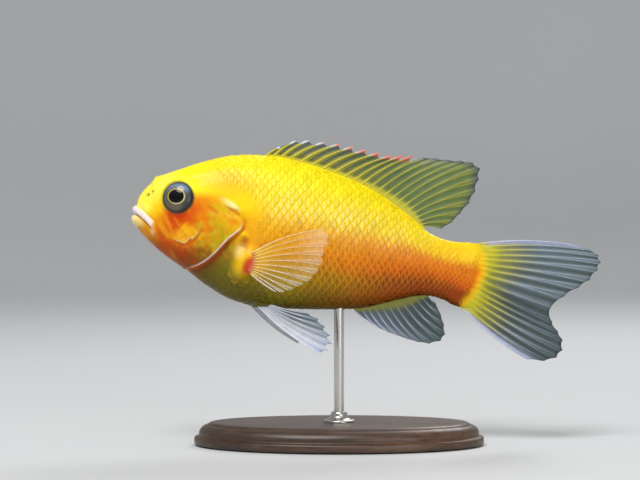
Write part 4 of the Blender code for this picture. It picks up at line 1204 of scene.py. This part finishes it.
def makeFin(name, parts, tree, rayMaterial, webMaterial):
    # parts: fin, rootAt, inSpace; the tree sweeps the rays along their lines and adds the web
    web = {"points": [], "faces": [], "tint": [], "rayPlace": [], "body": []}
    lines = {"points": [], "edges": [], "tint": [], "thick": [], "reach": []}
    rows, sink = finShape["rows"], finShape["sink"]
    for fin, rootAt, inSpace in parts:
        rays = lastRay(fin)
        columns = rays * finShape["columns"] + 1
        ray, v = np.meshgrid(np.linspace(0, rays, columns), np.linspace(-sink, 1, rows))
        grow = np.where(v > 0, v * webEdge(fin, np.minimum(ray, rays - 1e-6)), v)
        middle = inSpace(rayCurve(fin, rootAt, ray / rays, grow), grow)
        gaps = np.sin(math.pi * (ray - np.floor(ray))) ** 2
        middle[..., 1] += finShape["sag"] * gaps * ramp(grow, 0.15, 0.4)
        normal = np.cross(np.gradient(middle, axis=1), np.gradient(middle, axis=0))
        normal /= np.maximum(np.linalg.norm(normal, axis=-1, keepdims=True), 1e-9)
        half = normal * finShape["web"] / 2
        start, count = sum(len(p) for p in web["points"]), grow.size
        front = gridFaces(rows, columns, start=start)
        web["faces"] += front + [[a + count for a in quad[::-1]] for quad in front]
        index = start + np.arange(count).reshape(rows, columns)
        edge = [*index[0].tolist(), *index[1:, -1].tolist()]
        edge += [*index[-1, -2::-1].tolist(), *index[-2:0:-1, 0].tolist()]
        web["faces"] += [[b, a, a + count, b + count] for a, b in zip(edge, edge[1:] + edge[:1])]
        web["points"] += [(middle + half).reshape(-1, 3), (middle - half).reshape(-1, 3)]
        web["tint"] += [webTint(fin, ray, rays, grow, fin.get("glow", 0.45)).reshape(-1, 3)] * 2
        web["rayPlace"] += [ray.ravel()] * 2
        web["body"] += [webBodyAt(fin, ray / rays, grow).ravel()] * 2
        for place, reach, thick in rayLines(fin, rays):
            first = sum(len(p) for p in lines["points"])
            lines["points"].append(inSpace(rayCurve(fin, rootAt, place / rays, reach), reach))
            lines["edges"] += [(first + k, first + k + 1) for k in range(len(reach) - 1)]
            lines["tint"].append(finTint(fin, place / rays, reach, "rayTones"))
            lines["thick"].append(thick * mm)
            lines["reach"].append(reach)
    faces, edges = web.pop("faces"), lines.pop("edges")
    meshes = []
    for values, links in ((web, {"faces": faces}), (lines, {"faces": [], "edges": edges})):
        values = {key: np.concatenate(value) for key, value in values.items()}
        meshes.append(newMesh(name, toWorld(values.pop("points")), **links))
        setAttributes(meshes[-1], **values)
    webPiece, piece = newPiece(name + "Web", meshes[0]), newPiece(name, meshes[1])
    growMesh(piece, tree, {
        "Web": webPiece, "Ray sides": finShape["raySides"], "Ray material": rayMaterial,
        "Web material": webMaterial,
    })
    bpy.data.objects.remove(webPiece)
    fixNormals(piece)
    return piece


def finTree():
    tree, given, result = newTree("raysOnWeb", {
        "Web": "Object", "Ray sides": "Int", "Ray material": "Material", "Web material": "Material",
    })
    ring = {"Resolution": given["Ray sides"], "Radius": 1.0}
    tube = addNode(tree, "GeometryNodeCurveToMesh", {
        "Curve": addNode(tree, "GeometryNodeMeshToCurve", {"Mesh": given["Geometry"]}),
        "Profile Curve": addNode(tree, "GeometryNodeCurvePrimitiveCircle", ring),
        "Scale": addNode(tree, "GeometryNodeInputNamedAttribute", {"Name": "thick"}, data_type="FLOAT"),
        "Fill Caps": True,
    })
    web = addNode(tree, "GeometryNodeObjectInfo", {"Object": given["Web"]}, "Geometry")
    both = tree.nodes.new("GeometryNodeJoinGeometry")
    for geometry, label in ((web, "Web material"), (tube, "Ray material")):
        dressed = {"Geometry": geometry, "Material": given[label]}
        tree.links.new(addNode(tree, "GeometryNodeSetMaterial", dressed), both.inputs[0])
    solid = addNode(tree, "GeometryNodeRealizeInstances", {"Geometry": both.outputs[0]})
    setInputs(tree, result, {"Geometry": addNode(tree, "GeometryNodeSetShadeSmooth", {"Geometry": solid})})
    return tree


def onMidline(side, v):
    wave = np.sin(2 * math.pi * side[..., 0] / finShape["waveLength"])
    y = sway(side[..., 0]) + finShape["wave"] * np.clip(v - finShape["calm"], 0, 1) ** 1.5 * wave
    return np.stack([side[..., 0], y, side[..., 1]], -1)


def pairedPlace(fin, hand, start, swing=0.0, ahead=0.0, scale=1.0):
    # a paired fin stands out from its root on the body and curls back
    at = np.array(fin["at"])

    def inSpace(side, v):
        x, z = turned(*np.moveaxis((side - at) * scale, -1, 0), swing)
        y = start + x * fin["out"][0] + z * fin["out"][1] - fin["curl"] * (x ** 2 + z ** 2)
        return np.stack([at[0] - ahead + x, hand * y, at[1] + z], -1)
    return inSpace


# Eyes

eye = {
    "radius": 5.4, "depth": 2.6, "proud": 1.24, "facing": (-0.2285, 0.9562, 0.1831),
    "segments": 144, "rings": 84, "past": 104.0,
    "pupilAt": (-0.2, 0.0), "pupil": (2.5, 2.18), "ringWidth": 0.16, "irisEdge": 4.35,
    "lens": 0.1, "ringRise": 0.04, "edgeDrop": 0.08,
}


def makeEye(name, hand, material):
    x, z = face["eyeAt"]
    facing = np.array(eye["facing"]) / np.linalg.norm(eye["facing"])
    side = np.cross(facing, (0.0, 0.0, 1.0))   # towards the tail
    side /= np.linalg.norm(side)
    up = np.cross(side, facing)
    centre = np.array([x, halfWidthAt(x, z), z]) + facing * (eye["proud"] - eye["depth"])
    count, polar = eye["segments"], np.radians(np.linspace(0, eye["past"], eye["rings"] + 1))[1:]
    turn = evenTurn(count)
    reach = eye["radius"] * np.sin(polar)[:, None] * np.ones(count)
    a, b = reach * np.cos(turn), reach * np.sin(turn)
    pupil = np.hypot((a - eye["pupilAt"][0]) / eye["pupil"][0], (b - eye["pupilAt"][1]) / eye["pupil"][1])
    ring = ridge(pupil, 1 + eye["ringWidth"] / 2, eye["ringWidth"] * 0.55)
    out = eye["depth"] * np.cos(polar)[:, None] + eye["lens"] * fall(pupil, 0.7, 1.0)
    out = out + eye["ringRise"] * ring - eye["edgeDrop"] * ramp(reach, 4.2, 4.9)
    points = centre + a[..., None] * side + b[..., None] * up + out[..., None] * facing
    top = centre + facing * (eye["depth"] + eye["lens"])
    points = np.concatenate([top[None], points.reshape(-1, 3)]) * (1, hand, 1)
    faces = gridFaces(eye["rings"], count, closed=True, start=1)
    faces += [[0, 1 + (k + 1) % count, 1 + k] for k in range(count)]
    faces.append([1 + (eye["rings"] - 1) * count + k for k in range(count)])
    mesh = newMesh(name, toWorld(points), faces)

    way = np.arctan2(b, a)
    streak = ripple(way * 3.0, reach * 0.25, 31) + 0.6 * ripple(way * 9.0, reach * 0.4, 32)
    # the iris's own streaks, painted lighter and bluer towards its top as a painted reflection of the
    # light above
    colour = painted(
        np.broadcast_to(tone("irisLow"), (*reach.shape, 3)),
        ("irisTopReflection", ramp(b, 0.0, 3.8) * (0.85 + 0.5 * streak)),
        ("irisRust", 0.55 * ramp(-b + 0.4 * a, 0.5, 3.2) * (0.7 + 0.4 * streak)),
        ("irisDark", 0.85 * ramp(a - 0.25 * b, 1.6, 4.4)),
        ("irisDark", 0.4 * fall(pupil, 1.15, 1.5)),
        ("irisDark", 0.8 * ramp(reach, eye["irisEdge"] - 0.5, eye["irisEdge"] + 0.5)),
        ("ringGold", ring * ramp(b - a, -3.5, 1.5)),
        ("ringPale", 0.9 * ring * fall(b - a, -2.5, 0.5)),
        ("ink", fall(pupil, 0.96, 1.03)),
    )
    tint, gilt = np.vstack([tone("ink"), colour.reshape(-1, 3)]), np.append(0.0, 0.3 * ring)
    setAttributes(mesh, tint=tint, gilt=gilt)
    piece = newPiece(name, mesh, material)
    fixNormals(piece)
    return piece


# Stand

stand = {
    "baseRadii": (46.0, 27.0), "baseSegments": 168, "baseSteps": 57,
    "moulding": [(1.2, 0.0), (0.35, 0.15), (0.0, 0.7), (0.0, 1.9), (0.35, 2.5), (1.3, 2.75),
                 (1.55, 3.1), (1.5, 3.6), (1.7, 4.4), (2.3, 5.3), (3.3, 6.0), (4.2, 6.25),
                 (4.6, 6.6), (5.4, 6.95), (6.6, 7.0)],
    "rodRadius": 1.6, "rodTop": 1.4, "rodSegments": 48, "rodSteps": 12,
    "rodFoot": [(0.15, 0.0), (0.0, 0.15), (0.0, 0.5)], "rodEnd": [(0.0, -0.6), (0.15, -0.2), (0.6, 0.0)],
    "collar": [(0.0, 0.0), (0.0, 0.35), (0.25, 0.6), (0.9, 0.75), (1.5, 0.95), (2.1, 1.5),
               (2.35, 2.2), (2.5, 2.6), (2.8, 2.95), (3.1, 3.0)],
    "collarRadius": 5.0, "collarSegments": 72, "collarSteps": 37, "collarSunk": 0.25,
    "collarStretch": 1.08,
}


def makeStand(wood, steel):
    moulding = smoothed(stand["moulding"], stand["baseSteps"])
    base = lathe("walnutBase", moulding, stand["baseSegments"], stand["baseRadii"], wood)
    low, high = (corner.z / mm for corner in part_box("stand_rod"))
    high += stand["rodTop"]
    rodProfile = [(inset, low + z) for inset, z in stand["rodFoot"]]
    rodProfile += [(0.0, z) for z in np.linspace(low + 2, high - 1, stand["rodSteps"])]
    rodProfile += [(inset, high + z) for inset, z in stand["rodEnd"]]
    rod = lathe("supportRod", rodProfile, stand["rodSegments"], (stand["rodRadius"],) * 2, steel)
    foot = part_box("stand_collar")[0].z / mm - stand["collarSunk"]
    shape = smoothed(stand["collar"], stand["collarSteps"])
    collarProfile = [(inset, foot + z * stand["collarStretch"]) for inset, z in shape]
    segments, radii = stand["collarSegments"], (stand["collarRadius"],) * 2
    collar = lathe("rodCollar", collarProfile, segments, radii, steel)
    for piece, node, slot in (
        (base, "stand_base", "stand_wood"), (rod, "stand_rod", "stand_metal"),
        (collar, "stand_collar", "stand_metal"),
    ):
        finishPiece(piece, slot, node)
    print("stand: base, rod and collar")


def finishPiece(piece, slot, *nodes):
    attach(piece, "root")
    if nodes:
        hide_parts(*nodes)


# Stage: a round pale sweep, three soft lights and the camera

studio = {
    "sweep": [(0.0, 0.0), (1.1, 0.0), (1.5, 0.05), (1.8, 0.28), (1.95, 0.8), (2.0, 1.8)],
    "sweepSides": 128, "sweepSteps": 41,
    "lamps": {   # place, size and power
        "key": ((-0.35, -0.8, 1.3), 0.7, 17.0), "fill": ((0.5, -0.93, 0.27), 0.64, 2.6),
        "rim": ((0.36, 0.81, 0.82), 0.45, 4.1),
    },
    "aim": (0.0, 0.0, 0.07), "world": 0.34, "camera": (-0.00605, -0.565, 0.06474), "lens": 100.0,
}


def standIn(name, data, at, turn):
    # a lamp or the camera, put in its place
    holder = bpy.data.objects.new(name, data)
    bpy.context.scene.collection.objects.link(holder)
    holder.location, holder.rotation_euler = at, turn
    return holder


def makeStage():
    sides, turn = studio["sweepSides"], evenTurn(studio["sweepSides"])
    path = smoothed(studio["sweep"], studio["sweepSteps"])[1:]
    rings = [np.stack([r * np.cos(turn), r * np.sin(turn), np.full(sides, z)], -1) for r, z in path]
    floor = newMaterial("paleSweep", floorLook)
    faces = [quad[::-1] for quad in gridFaces(len(path), sides, closed=True)]
    faces.append(list(range(sides)))
    sweep = newPiece("sweep", newMesh("sweep", np.concatenate(rings), faces), floor)
    for name, (at, size, power) in studio["lamps"].items():
        lamp = bpy.data.lights.new(name, "AREA")
        lamp.shape, lamp.size, lamp.energy = "DISK", size, power
        away = Vector(at) - Vector(studio["aim"])
        standIn(name, lamp, at, away.to_track_quat("Z", "Y").to_euler()).visible_camera = False
    world = bpy.data.worlds.new("studio")
    world.use_nodes = True
    setInputs(world.node_tree, world.node_tree.nodes["Background"], {
        "Color": (1, 1, 1, 1), "Strength": studio["world"],
    })
    bpy.context.scene.world = world
    camera = bpy.data.cameras.new("camera")
    camera.lens, camera.sensor_width, camera.clip_start = studio["lens"], 36.0, 0.01
    bpy.context.scene.camera = standIn("camera", camera, studio["camera"], (math.radians(90), 0, 0))
    bpy.context.scene.view_settings.view_transform = "Standard"
    print("stage: sweep,", len(studio["lamps"]), "lamps and the camera")


def makeFish():
    finishPiece(
        makeSkin(newMaterial("wetSkin", skinLook)), "golden_skin", "head", "lower_jaw",
        "gill_cover_left", "gill_cover_right", "torso", "tail_stem",
    )
    plate, tree, (spread, looks) = makePlate(), scaleTree(), dressLattice()
    material = newMaterial("goldenScale", scaleLook)
    print("scales on each side:", len(spread["t"]))
    for name, side, seed in (("scalesLeft", -1, 11), ("scalesRight", 1, 12)):
        piece = makeScales(name, side, spread, looks, plate, tree, material, seed)
        finishPiece(piece, "golden_skin")
    bpy.data.objects.remove(plate)
    material = newMaterial("wetEye", eyeLook)
    for name, hand, node in (("eyeLeft", -1, "eye_left"), ("eyeRight", 1, "eye_right")):
        finishPiece(makeEye(name, hand, material), "eye", node)
    print("eyes: one on each side")


def makeFins():
    tree, materials = finTree(), (newMaterial("finRay", rayLook), newMaterial("finWeb", webLook))
    lobes = [(lobe, guideRoot(lobe), onMidline) for lobe in (tailUpper, tailLower)]
    jobs = [
        ("dorsalFin", [(dorsal, ridgeRoot(dorsal, 0), onMidline)], ["dorsal_fin"]),
        ("analFin", [(anal, ridgeRoot(anal, 1), onMidline)], ["anal_fin"]),
        ("tailFin", lobes, ["tail_fin_upper_lobe", "tail_fin_lower_lobe"]),
    ]
    shoulder = halfWidthAt(*pectoral["at"]) + pectoral["offset"]
    for fin, name, node, start, swings in (
        (pectoral, "pectoralFin", "pectoral_fin_", shoulder, ((), ())),
        (pelvic, "pelvicFin", "pelvic_fin_", pelvic["side"], (pelvic["near"], pelvic["far"])),
    ):
        for word, hand, swing in zip(("Left", "Right"), (-1, 1), swings):
            parts = [(fin, guideRoot(fin), pairedPlace(fin, hand, start, *swing))]
            jobs.append((name + word, parts, [node + word.lower()]))
    for name, parts, nodes in jobs:
        finishPiece(makeFin(name, parts, tree, *materials), "fin_membrane", *nodes)


makeFish()
makeFins()
makeStand(newMaterial("oiledWalnut", woodLook), newMaterial("satinSteel", steelLook))
makeStage()
bpy.context.view_layer.update()
print("pieces done")
